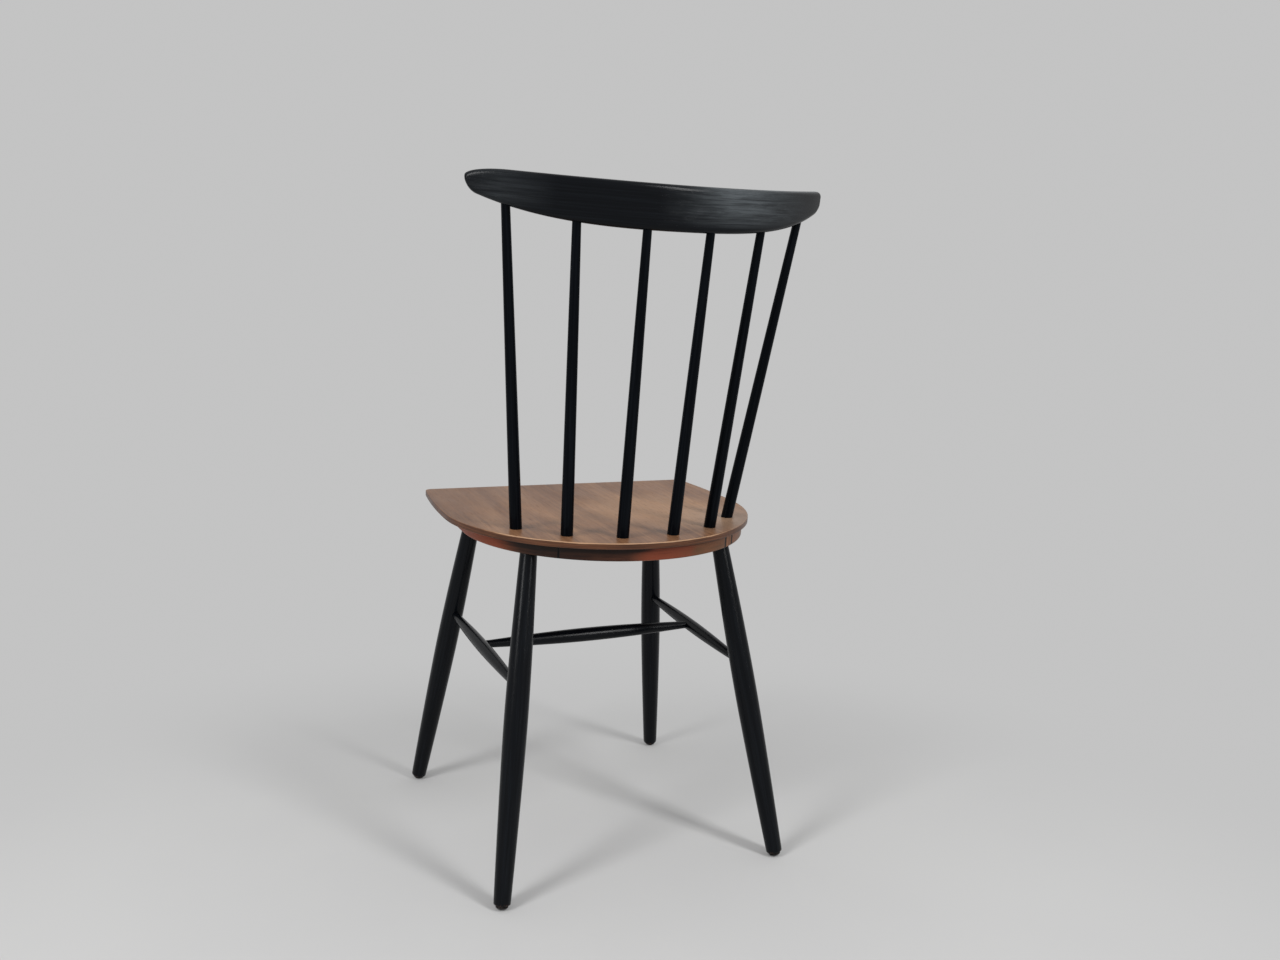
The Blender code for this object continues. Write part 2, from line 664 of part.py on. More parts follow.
def add_spindle(number, panel, rims, rail, chair):
    """One spindle with its hole through the panel and its sockets in rim and rail."""
    place = number - (SPINDLE_COUNT + 1) / 2
    walk = SPINDLE_SEAT_PITCH * place
    point, outward = edge_station(walk)
    seat = point - outward * SPINDLE_EDGE_DISTANCE
    foot = SEAT_FRAME @ Vector((seat.x, seat.y, 0))
    arc = SPINDLE_RAIL_PITCH * place
    rail_low = rail_lower_edge(arc)
    head = RAIL_FRAME @ rail_point(arc, 0, rail_low + SPINDLE_RAIL_DEPTH / 2)
    direction = (head - foot).normalized()
    buried = PANEL_THICKNESS + GLUE_GAP + SPINDLE_RIM_DEPTH
    first = foot - direction * buried
    last = head + direction * (SPINDLE_RAIL_DEPTH / 2)
    length = (last - first).length
    name = "spindle_%d" % number
    mouth, rail_mouth = buried, length - SPINDLE_RAIL_DEPTH
    matrix = along(first, last)
    mesh = turned(name, spindle_profile(mouth, rail_mouth, length), SPINDLE_SIDES)
    add_piece(name, mesh, matrix, chair, BLACK_LACQUER)
    above, below = mouth + SPINDLE_SEAT_RADIUS, mouth - PANEL_THICKNESS - SPINDLE_SEAT_RADIUS
    cut_socket(panel, name + "_panel_hole", matrix, SPINDLE_SEAT_RADIUS, (below, above), SPINDLE_SIDES, chair)
    rim = rims["back"]
    if not RIGHT_JOINT_WALK < walk < LEFT_JOINT_WALK:
        rim = rims["left" if walk > 0 else "right"]
    cut_socket(rim, name + "_rim_hole", matrix, SPINDLE_TENON_RADIUS, (-GLUE_GAP, mouth),
               SPINDLE_SIDES, chair)
    cut_socket(rail, name + "_rail_hole", matrix, SPINDLE_RAIL_RADIUS,
               (rail_mouth - SPINDLE_RAIL_RADIUS, length + GLUE_GAP), SPINDLE_SIDES, chair)


# Assembly

def stand_on_origin(chair):
    """Moves the chair so that the middle of its bounding box is over the origin."""
    bpy.context.view_layer.update()
    graph = bpy.context.evaluated_depsgraph_get()
    places = []
    for piece in chair.children:
        if piece.hide_render:
            continue
        mesh = piece.evaluated_get(graph).data
        places += [piece.matrix_world @ vertex.co for vertex in mesh.vertices]
    for axis in (0, 1):
        values = [place[axis] for place in places]
        chair.location[axis] -= (max(values) + min(values)) / 2
    bpy.context.view_layer.update()


def main():
    """Builds the chair, piece by piece, from the seat down and then up."""
    for old in list(bpy.data.objects):
        bpy.data.objects.remove(old)
    chair = bpy.data.objects.new("chair", None)
    bpy.context.collection.objects.link(chair)

    panel = seat_panel(chair)
    rims = {"back": bent_rim("rim_back", RIGHT_JOINT_WALK, LEFT_JOINT_WALK, 20, chair, BENT_PLYWOOD)}
    key_end = RIGHT_JOINT_WALK - JOINT_KEY_WIDTH
    bent_rim("rim_key", key_end, RIGHT_JOINT_WALK, 3, chair, END_GRAIN)
    rims["left"] = side_rail("rim_left", 1, LEFT_JOINT_WALK, chair)
    rims["right"] = side_rail("rim_right", -1, -key_end, chair)
    rims["front"] = front_rail(chair)

    axes = leg_axes()
    legs = {}
    for label, axis in axes.items():
        rim = rims["front"] if label.startswith("front") else rims[label.split("_")[1]]
        legs[label] = add_leg(label, axis, rim, chair)
        add_glide(label, axis, legs[label], chair)
    add_stretchers(legs, axes, chair)

    rail = crest_rail(chair)
    for number in range(1, SPINDLE_COUNT + 1):
        add_spindle(number, panel, rims, rail, chair)
    stand_on_origin(chair)


if __name__ == "__main__":
    main()
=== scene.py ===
"""Looks of the spindle-back chair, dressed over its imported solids.

Every length is in metres. The seat has a frame of its own: across, behind its front edge and
above its top face. A walk is a distance along its outline from the middle of the back, more
than 0 towards the sitter's left. Each piece carries a vector attribute with its place in the
wood it was cut from, whose last number runs along the grain, and the finishes read it.
"""

import logging
import math
from dataclasses import dataclass, field
from enum import Enum

import bmesh
import bpy
import numpy as np
from mathutils import Matrix, Vector

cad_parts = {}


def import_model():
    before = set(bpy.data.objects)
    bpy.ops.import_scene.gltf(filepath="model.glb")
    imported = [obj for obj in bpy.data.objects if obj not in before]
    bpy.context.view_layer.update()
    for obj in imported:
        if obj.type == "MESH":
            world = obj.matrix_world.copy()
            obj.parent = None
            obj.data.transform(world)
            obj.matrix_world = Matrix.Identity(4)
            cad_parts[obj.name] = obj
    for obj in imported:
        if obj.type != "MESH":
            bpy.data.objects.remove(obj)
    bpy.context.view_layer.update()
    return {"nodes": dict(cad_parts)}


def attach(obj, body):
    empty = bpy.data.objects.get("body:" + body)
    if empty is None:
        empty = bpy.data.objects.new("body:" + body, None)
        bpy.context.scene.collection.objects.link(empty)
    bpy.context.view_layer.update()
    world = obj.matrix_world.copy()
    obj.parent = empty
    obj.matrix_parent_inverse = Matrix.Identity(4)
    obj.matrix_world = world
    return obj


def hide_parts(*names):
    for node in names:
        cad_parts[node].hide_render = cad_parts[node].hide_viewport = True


LOG = logging.getLogger("chair")
# Takes shapes from the floor under the middle of the seat's front edge, where they are worked out,
# to the chair's origin, on the floor under the middle of its bounding box
TO_ORIGIN = Matrix.Translation((-0.000230, -0.148805, 0.0))
# Attributes of the meshes that the finishes read
GRAIN = "grain"
LAP = "lap"
WEAR = "wear"
# Edge band of the seat panel, and painted sheen and highlight on the crest rail
EDGE_BAND_AND_PAINTED_SHEEN = "band"
# Painted shade, and on the rim the dark joints as well
SHADE_AND_JOINTS = "stain"
# Painted warm reflected light on the rim
PAINTED_LIGHT = "reddened"
SEAM = "seam"
# Angle in degrees past which an edge stays sharp
CREASE = 35.0
ARRIS_STEPS = 6
QUARTER = math.pi / 2
WHITE = (1.0, 1.0, 1.0)


class Slot(Enum):
    """Material slots of the record."""

    LACQUER = "black_lacquer"
    TEAK = "teak_veneer"
    PLYWOOD = "bent_plywood"
    END_GRAIN = "end_grain"
    STEEL = "dark_steel"


def in_scene(name: str, data: bpy.types.ID) -> bpy.types.Object:
    """Puts an object in the scene.

    Args:
        name: Name of the object.
        data: Its mesh, lamp or camera.

    Returns:
        The object.
    """
    thing = bpy.data.objects.new(name, data)
    bpy.context.scene.collection.objects.link(thing)
    return thing


# Node trees


class Value:
    """An output socket that takes part in expressions, which add Math nodes."""

    def __init__(self, graph: "Graph", socket: bpy.types.NodeSocket) -> None:
        """Wraps one output socket of a graph."""
        self.graph = graph
        self.socket = socket

    def math(self, operation: str, first: "Value | float", second: "Value | float") -> "Value":
        """Adds a Math node on two values."""
        return self.graph.node("ShaderNodeMath", {"operation": operation}, {0: first, 1: second})

    def __add__(self, other: "Value | float") -> "Value":
        """Sum."""
        return self.math("ADD", self, other)

    __radd__ = __add__

    def __sub__(self, other: "Value | float") -> "Value":
        """Difference."""
        return self.math("SUBTRACT", self, other)

    def __rsub__(self, other: float) -> "Value":
        """Difference, with this value taken away."""
        return self.math("SUBTRACT", other, self)

    def __mul__(self, other: "Value | float") -> "Value":
        """Product."""
        return self.math("MULTIPLY", self, other)

    __rmul__ = __mul__

    def larger(self, other: "Value | float") -> "Value":
        """The larger of this value and another."""
        return self.math("MAXIMUM", self, other)

    def smooth(self, low: float, high: float) -> "Value":
        """Eases this value from 0 at low to 1 at high."""
        return self.graph.node("ShaderNodeMapRange", {"interpolation_type": "SMOOTHSTEP"},
                               {"Value": self, "From Min": low, "From Max": high})


class Graph:
    """Node tree whose nodes all come from one method."""

    def __init__(self, tree: bpy.types.NodeTree) -> None:
        """Wraps a node tree."""
        self.tree = tree

    def add(self, kind: str, settings: dict | None = None, inputs: dict | None = None) -> bpy.types.Node:
        """Adds a node, with its settings made first.

        Args:
            kind: Type of the node.
            settings: Attributes of the node; stops holds a ramp's (place, colour) pairs.
            inputs: Values or links by socket name or number.

        Returns:
            The node.
        """
        node = self.tree.nodes.new(kind)
        for name, value in (settings or {}).items():
            if name == "stops":
                while len(node.color_ramp.elements) < len(value):
                    node.color_ramp.elements.new(1.0)
                for element, (place, colour) in zip(node.color_ramp.elements, value):
                    element.position = place
                    element.color = (*colour, 1.0)
            else:
                setattr(node, name, value)
        for key, value in (inputs or {}).items():
            self.feed(node.inputs[key], value)
        return node

    def node(self, kind: str, settings: dict | None = None, inputs: dict | None = None,
             output: "int | str" = 0) -> Value:
        """Adds a node, as add does, for one of its outputs.

        Args:
            kind: Type of the node.
            settings: Attributes of the node.
            inputs: Values or links by socket name or number.
            output: Name or number of the output.

        Returns:
            The output, ready for expressions.
        """
        return Value(self, self.add(kind, settings, inputs).outputs[output])

    def feed(self, socket: bpy.types.NodeSocket, value: "Value | float | tuple") -> None:
        """Links or sets one input socket.

        Args:
            socket: The input.
            value: Output to link to it, or the number, colour or other constant that it takes.
        """
        if isinstance(value, Value):
            self.tree.links.new(value.socket, socket)
        elif socket.type == "RGBA":
            socket.default_value = (*value, 1.0)
        else:
            socket.default_value = value

    def seen(self) -> Value:
        """1 for what the camera sees, also in gloss and through glass, and 0 for other light.

        Returns:
            The largest of the three kinds of ray.
        """
        camera, glossy, through = (self.node("ShaderNodeLightPath", output=f"Is {ray} Ray")
                                   for ray in ("Camera", "Glossy", "Transmission"))
        return camera.larger(glossy).larger(through)


class Recipe(Graph):
    """Procedural material in the making."""

    def __init__(self, name: str) -> None:
        """Starts a material with its shader.

        Args:
            name: Name of the material.
        """
        self.material = bpy.data.materials.new(name)
        self.material.use_nodes = True
        super().__init__(self.material.node_tree)
        self.shader = self.tree.nodes["Principled BSDF"]

    def mask(self, name: str) -> Value:
        """Number attribute of the piece, 0 where it has none."""
        return self.node("ShaderNodeAttribute", {"attribute_name": name}, output="Fac")

    def noise(self, across: float, along: float, detail: float, rough: float, twist: float = 0.0,
              source: str = GRAIN, shift: float = 0.0) -> Value:
        """Noise drawn out along the grain.

        Args:
            across: Features to the metre across the grain.
            along: Features to the metre along the grain.
            detail: Octaves.
            rough: Share that each finer octave keeps.
            twist: Distortion.
            source: Vector attribute that is read.
            shift: Moves the pattern, so that two of the same size differ.

        Returns:
            Values round 0.5.
        """
        place = self.node("ShaderNodeAttribute", {"attribute_name": source}, output="Vector")
        moved = self.node("ShaderNodeMapping", {}, {"Vector": place, "Location": (shift, shift, shift),
                                                    "Scale": (across, across, along)})
        return self.node("ShaderNodeTexNoise", {}, {"Vector": moved, "Scale": 1.0, "Detail": detail,
                                                    "Roughness": rough, "Distortion": twist})

    def patch(self, middle: tuple, size: tuple) -> Value:
        """Soft patch at one place in the wood.

        Args:
            middle: Place in the wood.
            size: Distance along each axis at which the patch has faded out.

        Returns:
            1 in the middle of the patch, falling to 0.
        """
        place = self.node("ShaderNodeAttribute", {"attribute_name": GRAIN}, output="Vector")
        scale = tuple(1 / reach for reach in size)
        offset = tuple(-spot / reach for spot, reach in zip(middle, size))
        moved = self.node("ShaderNodeMapping", {}, {"Vector": place, "Location": offset, "Scale": scale})
        length = self.node("ShaderNodeVectorMath", {"operation": "LENGTH"}, {0: moved}, "Value")
        return 1 - length.smooth(0.0, 1.0)

    def ramp(self, factor: Value, *stops: tuple) -> Value:
        """Colour ramp with (place, colour) stops."""
        return self.node("ShaderNodeValToRGB", {"stops": stops}, {"Fac": factor})

    def mix(self, factor: Value, first: "Value | tuple", second: "Value | tuple") -> Value:
        """Mixes two colours.

        Args:
            factor: Share of the second colour.
            first: First colour.
            second: Second colour.

        Returns:
            The mixed colour.
        """
        # A Mix node has sockets for each type of data, and 6, 7 and output 2 are those for colours
        return self.node("ShaderNodeMix", {"data_type": "RGBA"}, {0: factor, 6: first, 7: second}, 2)

    def bump(self, height: Value, depth: float, strength: float, under: Value | None = None) -> Value:
        """Bumps the surface.

        Args:
            height: Relief.
            depth: Depth in metres for a height of 1.
            strength: How much of it shows.
            under: Bumped normal that this one is laid over.

        Returns:
            The bumped normal.
        """
        inputs = {"Strength": strength, "Distance": depth, "Height": height}
        if under is not None:
            inputs["Normal"] = under
        return self.node("ShaderNodeBump", {}, inputs)

    def finish(self, colour: "Value | tuple", roughness: "Value | float", normal: Value,
               shine: float = 0.5) -> bpy.types.Material:
        """Joins the pattern to the shader.

        Args:
            colour: Base colour.
            roughness: Roughness.
            normal: Bumped normal.
            shine: Specular IOR level.

        Returns:
            The finished material.
        """
        for label, value in (("Base Color", colour), ("Roughness", roughness), ("Normal", normal),
                             ("Specular IOR Level", shine)):
            self.feed(self.shader.inputs[label], value)
        return self.material


# Finishes


@dataclass(frozen=True)
class BlackLacquer:
    """Satin black lacquer brushed over beech, thin enough for the grain to show, with a painted sheen and
    highlight where a piece's mask asks for them.
    """

    deep: tuple = (0.0013, 0.0019, 0.0031)
    thin: tuple = (0.0041, 0.0054, 0.0076)
    # Pale bluish grey painted on the crest rail as sheen and highlight
    wear_and_painted_sheen: tuple = (0.110, 0.124, 0.134)
    bare: tuple = (0.060, 0.026, 0.014)
    roughness: float = 0.22
    shine: float = 0.14

    def material(self) -> bpy.types.Material:
        """Builds the material.

        Returns:
            The material.
        """
        recipe = Recipe("black lacquer")
        streaks = recipe.noise(420, 9, detail=4, rough=0.55)
        pores = recipe.noise(2600, 60, detail=2, rough=0.5, shift=3.0).smooth(0.58, 0.72)
        sheen = recipe.noise(130, 11, detail=5, rough=0.70, twist=0.6, shift=7.0)
        brushing = recipe.noise(900, 22, detail=3, rough=0.65, twist=0.2, shift=5.0)
        colour = recipe.mix(streaks.smooth(0.36, 0.80), self.deep, self.thin)
        # Painted sheen: pale bluish grey laid in streaks and clouds over the crest rail's back, standing in
        # for reflected light
        strokes = brushing.smooth(0.32, 0.68) * 0.45 + 0.55
        clouds = sheen.smooth(0.30, 0.64) * 0.65 + 0.35
        painted_sheen = recipe.mask(EDGE_BAND_AND_PAINTED_SHEEN) * strokes * clouds
        colour = recipe.mix(painted_sheen, colour, self.wear_and_painted_sheen)
        chips = recipe.noise(420, 150, detail=4, rough=0.65, shift=11.0)
        worn = (recipe.mask(WEAR) + (chips - 0.5) * 0.9).smooth(0.62, 0.72)
        colour = recipe.mix(worn, colour, self.bare)
        roughness = self.roughness + (streaks - 0.5) * 0.10 + (sheen - 0.5) * 0.16 + painted_sheen * 0.2 + worn * 0.2
        waves = recipe.noise(330, 140, detail=2, rough=0.5, shift=2.0)
        film = recipe.bump(waves, depth=0.00005, strength=0.5)
        height = streaks * 0.6 - pores * 0.4 + brushing * 0.3 - worn * 0.8
        relief = recipe.bump(height, depth=0.00010, strength=0.6, under=film)
        return recipe.finish(colour, roughness, relief, self.shine)


@dataclass(frozen=True)
class TeakVeneer:
    """Oiled teak veneer with painted washes of reflected light across its top, and an edge worn pale at its
    arris.
    """

    pale: tuple = (0.320, 0.168, 0.088)
    brown: tuple = (0.226, 0.110, 0.056)
    dark: tuple = (0.142, 0.064, 0.032)
    painted_wash: tuple = (0.520, 0.290, 0.150)
    pore: tuple = (0.070, 0.030, 0.016)
    band_light: tuple = (0.128, 0.048, 0.021)
    band_dark: tuple = (0.050, 0.019, 0.009)
    worn: tuple = (0.480, 0.290, 0.170)
    painted_reflection: tuple = (0.430, 0.330, 0.255)
    # Painted reflection washes: a lighter warm patch towards the middle, and a paler one towards the back on
    # the sitter's right
    wash_middle: tuple = (-0.065, 0.0, 0.175)
    wash_size: tuple = (0.180, 0.5, 0.160)
    dull_middle: tuple = (0.190, 0.0, 0.060)
    dull_size: tuple = (0.150, 0.5, 0.150)
    reflection_middle: tuple = (-0.150, 0.0, 0.250)
    reflection_size: tuple = (0.120, 0.5, 0.100)
    roughness: float = 0.36
    shine: float = 0.27

    def material(self) -> bpy.types.Material:
        """Builds the material.

        Returns:
            The material.
        """
        recipe = Recipe("teak veneer")
        figure = recipe.noise(20, 2.4, detail=4, rough=0.55, twist=0.6)
        streaks = recipe.noise(210, 6, detail=4, rough=0.6, twist=0.2, shift=4.0)
        pores = recipe.noise(1100, 44, detail=2, rough=0.6, shift=9.0).smooth(0.56, 0.70)
        blend = figure * 0.5 + streaks * 0.5
        top = recipe.ramp(blend, (0.37, self.dark), (0.50, self.brown), (0.62, self.pale))
        # Painted reflection wash towards the middle of the top, broken up by the figure
        fade = (recipe.patch(self.wash_middle, self.wash_size) + (figure - 0.5) * 0.5).smooth(0.05, 0.95)
        top = recipe.mix(fade * 0.55, top, self.painted_wash)
        top = recipe.mix(recipe.patch(self.dull_middle, self.dull_size) * 0.45, top, self.dark)
        # Painted pale reflection towards the back on the sitter's right
        top = recipe.mix(recipe.patch(self.reflection_middle, self.reflection_size) * 0.4, top, self.painted_reflection)
        top = recipe.mix(pores * 0.5, top, self.pore)
        edge_streaks = recipe.noise(900, 18, detail=4, rough=0.6, source=LAP)
        edge = recipe.mix(edge_streaks.smooth(0.34, 0.66), self.band_dark, self.band_light)
        colour = recipe.mix(recipe.mask(EDGE_BAND_AND_PAINTED_SHEEN), top, edge)
        patches = recipe.noise(160, 26, detail=4, rough=0.65, source=LAP, shift=6.0)
        worn = (recipe.mask(WEAR) * 0.85 + (patches - 0.5) * 1.1).smooth(0.42, 0.66)
        colour = recipe.mix(worn * 0.85, colour, self.worn)
        # Painted shade on the edge near the sitter's left front corner, in the dark colour of the pores
        colour = recipe.mix(recipe.mask(SHADE_AND_JOINTS) * 0.7, colour, self.pore)
        smudges = recipe.noise(18, 12, detail=4, rough=0.6, shift=13.0)
        roughness = self.roughness + (smudges - 0.5) * 0.24 + pores * 0.10 + (streaks - 0.5) * 0.10
        relief = recipe.bump(streaks * 0.5 - pores * 0.7, depth=0.00012, strength=0.6)
        return recipe.finish(colour, roughness, relief, self.shine)


@dataclass(frozen=True)
class BentPlywood:
    """Stained face of the bent rim, with a stretch of painted shade and dark reflection, a stretch of
    painted warm light, and dark joints.
    """

    brown: tuple = (0.190, 0.072, 0.034)
    olive: tuple = (0.130, 0.060, 0.029)
    # Orange red painted as warm reflected light on the rim
    painted_warm_light: tuple = (0.215, 0.050, 0.023)
    # Near-black of the painted shade and dark reflection, also laid along dark grain streaks
    painted_shade_and_dark_grain: tuple = (0.0065, 0.0044, 0.0038)
    wear_and_painted_sheen: tuple = (0.270, 0.140, 0.080)
    seam: tuple = (0.0010, 0.0008, 0.0010)
    roughness: float = 0.40
    shine: float = 0.18

    def material(self) -> bpy.types.Material:
        """Builds the material.

        Returns:
            The material.
        """
        recipe = Recipe("bent plywood")
        streaks = recipe.noise(420, 12, detail=4, rough=0.6, twist=0.3)
        cloud = recipe.noise(60, 16, detail=4, rough=0.6, shift=5.0)
        pores = recipe.noise(1800, 60, detail=2, rough=0.6, shift=9.0).smooth(0.57, 0.70)
        colour = recipe.mix(cloud.smooth(0.35, 0.65), self.olive, self.brown)
        # Painted warm reflected light, broken up by the grain and clouds
        painted_warm_light = (recipe.mask(PAINTED_LIGHT) * (streaks * 0.6 + cloud * 0.8 + 0.3)).smooth(0.15, 0.95)
        colour = recipe.mix(painted_warm_light, colour, self.painted_warm_light)
        # Painted shade and dark reflection along the back, and painted shade under the panel's overhang
        painted_shade_and_dark_grain = (recipe.mask(SHADE_AND_JOINTS) + (cloud - 0.5) * 0.5 + (streaks - 0.5) * 0.4).smooth(0.15, 0.85)
        colour = recipe.mix(painted_shade_and_dark_grain * 0.95, colour, self.painted_shade_and_dark_grain)
        colour = recipe.mix(streaks.smooth(0.52, 0.74) * 0.40, colour, self.painted_shade_and_dark_grain)
        worn = (recipe.mask(WEAR) * 0.6 + (cloud - 0.5) * 1.2).smooth(0.36, 0.66)
        colour = recipe.mix(worn * 0.5 * (1 - painted_shade_and_dark_grain), colour, self.wear_and_painted_sheen)
        colour = recipe.mix(recipe.mask(SEAM) * 0.9, colour, self.seam)
        roughness = self.roughness + (cloud - 0.5) * 0.20 + pores * 0.10
        height = streaks * 0.5 - pores * 0.6 - recipe.mask(SEAM) * 2
        relief = recipe.bump(height, depth=0.00014, strength=0.6)
        return recipe.finish(colour, roughness, relief, self.shine)


@dataclass(frozen=True)
class EndGrain:
    """Striped grain of the short upright key in the rim."""

    light: tuple = (0.260, 0.115, 0.058)
    dark: tuple = (0.020, 0.009, 0.005)
    roughness: float = 0.48
    shine: float = 0.16

    def material(self) -> bpy.types.Material:
        """Builds the material.

        Returns:
            The material.
        """
        recipe = Recipe("end grain")
        stripes = recipe.noise(9, 640, detail=3, rough=0.6)
        specks = recipe.noise(1400, 1400, detail=2, rough=0.6, shift=4.0)
        colour = recipe.mix(stripes.smooth(0.36, 0.64) * 0.6 + 0.4, self.dark, self.light)
        colour = recipe.mix(specks.smooth(0.56, 0.70) * 0.4, colour, self.dark)
        colour = recipe.mix(recipe.mask(SEAM), colour, self.dark)
        relief = recipe.bump(stripes * 0.6 - specks * 0.4, depth=0.00015, strength=0.6)
        return recipe.finish(colour, self.roughness + (specks - 0.5) * 0.2, relief, self.shine)


@dataclass(frozen=True)
class DarkSteel:
    """Steel of the glides, dark with age and worn where it stands."""

    dark: tuple = (0.0080, 0.0070, 0.0070)
    rust: tuple = (0.0200, 0.0090, 0.0060)
    bright: tuple = (0.12, 0.115, 0.11)
    metal: float = 0.85
    roughness: float = 0.36

    def material(self) -> bpy.types.Material:
        """Builds the material.

        Returns:
            The material.
        """
        recipe = Recipe("dark steel")
        spots = recipe.noise(600, 600, detail=4, rough=0.65)
        scratches = recipe.noise(3000, 300, detail=3, rough=0.6, shift=4.0)
        rust = spots.smooth(0.50, 0.66)
        colour = recipe.mix(rust, self.dark, self.rust)
        wear_and_painted_sheen = recipe.mask(WEAR) * scratches.smooth(0.40, 0.60)
        colour = recipe.mix(wear_and_painted_sheen, colour, self.bright)
        recipe.feed(recipe.shader.inputs["Metallic"], (1 - rust) * self.metal)
        relief = recipe.bump(spots + scratches * 0.4, depth=0.00012, strength=0.8)
        return recipe.finish(colour, self.roughness + rust * 0.35, relief)


@dataclass(frozen=True)
class Finishes:
    """The chair's finishes, each built once; the slim one is for pieces too thin for broad shine."""

    materials: dict = field(default_factory=lambda: {
        Slot.LACQUER: BlackLacquer().material(),
        Slot.TEAK: TeakVeneer().material(),
        Slot.PLYWOOD: BentPlywood().material(),
        Slot.END_GRAIN: EndGrain().material(),
        Slot.STEEL: DarkSteel().material(),
    })
    slim: bpy.types.Material = field(default_factory=lambda: BlackLacquer(shine=0.05).material())

    def dress(self, name: str, mesh: bpy.types.Mesh, slot: Slot, *nodes: str,
              finish: bpy.types.Material | None = None) -> bpy.types.Object:
        """Puts a finished mesh on the chair.

        Args:
            name: Name of the piece.
            mesh: Its mesh, in the chair's frame.
            slot: Material slot that it takes its finish from.
            nodes: Solids that it stands for.
            finish: Material, where it isn't the slot's usual one.

        Returns:
            The piece.
        """
        mesh.materials.clear()
        mesh.materials.append(finish or self.materials[slot])
        piece = in_scene(name, mesh)
        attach(piece, "root")
        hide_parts(*nodes)
        LOG.info("%s: %d faces for %s", name, len(mesh.polygons), ", ".join(nodes))
        return piece


# Meshes


def skin(name: str, rings: np.ndarray, masks: dict, grain: np.ndarray,
         lap: np.ndarray | None = None) -> bpy.types.Mesh:
    """Closed mesh over a row of rings, with a face at each end.

    Args:
        name: Name of the mesh.
        rings: Points as (rings, points to a ring, 3).
        masks: Number attributes as (rings, points to a ring).
        grain: Place in the wood for each point; its last number runs along the grain.
        lap: Place on the edge band for each point.

    Returns:
        The smooth-shaded mesh.
    """
    rows, count = rings.shape[:2]
    faces = []
    for row in range(rows - 1):
        for index in range(count):
            after = (index + 1) % count
            faces.append((row * count + index, row * count + after,
                          (row + 1) * count + after, (row + 1) * count + index))
    faces.append(tuple(range(count)))
    faces.append(tuple(range((rows - 1) * count, rows * count)))
    mesh = bpy.data.meshes.new(name)
    mesh.from_pydata(rings.reshape(-1, 3).tolist(), [], faces)
    for label, values in masks.items():
        note(mesh, label, values, "FLOAT", "value")
    for label, places in ((GRAIN, grain), (LAP, lap)):
        if places is not None:
            note(mesh, label, places, "FLOAT_VECTOR", "vector")
    return faced_out(mesh)


def note(mesh: bpy.types.Mesh, label: str, values: np.ndarray, kind: str, part: str) -> None:
    """Stores an attribute of a mesh's points, of one kind and the part of it that holds the numbers."""
    mesh.attributes.new(label, kind, "POINT").data.foreach_set(part, np.ravel(values))


def faced_out(mesh: bpy.types.Mesh, crease: float = CREASE) -> bpy.types.Mesh:
    """Turns every face outwards and shades the mesh smooth.

    Args:
        mesh: The mesh, which is changed.
        crease: Angle in degrees past which an edge stays sharp.

    Returns:
        The same mesh.
    """
    bm = bmesh.new()
    bm.from_mesh(mesh)
    bmesh.ops.recalc_face_normals(bm, faces=bm.faces)
    bm.to_mesh(mesh)
    bm.free()
    mesh.shade_smooth()
    mesh.set_sharp_from_angle(angle=math.radians(crease))
    return mesh


def placed(points: np.ndarray, matrix: Matrix) -> np.ndarray:
    """Points taken through a matrix."""
    turn = np.array(matrix.to_3x3())
    return points @ turn.T + np.array(matrix.translation)


def ease(values: np.ndarray, low: float, high: float) -> np.ndarray:
    """Eases values from 0 at low to 1 at high."""
    share = np.clip((values - low) / (high - low), 0, 1)
    return share * share * (3 - 2 * share)


def graded(values: np.ndarray, stops: tuple) -> np.ndarray:
    """Level at each value, on straight lines between (value, level) stops."""
    return np.interp(values, *zip(*stops))


def corner_loss(distance: float, length: float, drop: float) -> float:
    """How much an elliptic corner takes off.

    Args:
        distance: Distance from the end that the corner rounds.
        length: Length of the corner.
        drop: What it takes off at the very end.

    Returns:
        The loss at that distance.
    """
    if distance >= length:
        return 0.0
    return drop * (1 - math.sqrt(max(0.0, 1 - ((length - distance) / length) ** 2)))


def round_box(left: float, right: float, low: float, high: float, radius: float, steps: int = 10,
              fill: int = 5) -> list[tuple[float, float]]:
    """Rectangle with round corners, its straight sides divided.

    Args:
        left: Smallest first number.
        right: Largest first number.
        low: Smallest second number.
        high: Largest second number.
        radius: Radius of the corners.
        steps: Points to a corner.
        fill: Parts of a straight side.

    Returns:
        Points in order round the rectangle, from its right side up and over.
    """
    points = []
    corners = ((right - radius, high - radius), (left + radius, high - radius),
               (left + radius, low + radius), (right - radius, low + radius))
    for turn, (across, height) in enumerate(corners):
        for angle in np.linspace(0, QUARTER, steps) + turn * QUARTER:
            points.append((across + radius * math.cos(angle), height + radius * math.sin(angle)))
        start = np.array(points[-1])
        following = corners[(turn + 1) % 4]
        angle = (turn + 1) * QUARTER
        end = np.array(following) + radius * np.array((math.cos(angle), math.sin(angle)))
        points += [tuple(start + (end - start) * share / fill) for share in range(1, fill)]
    return points


# Seat


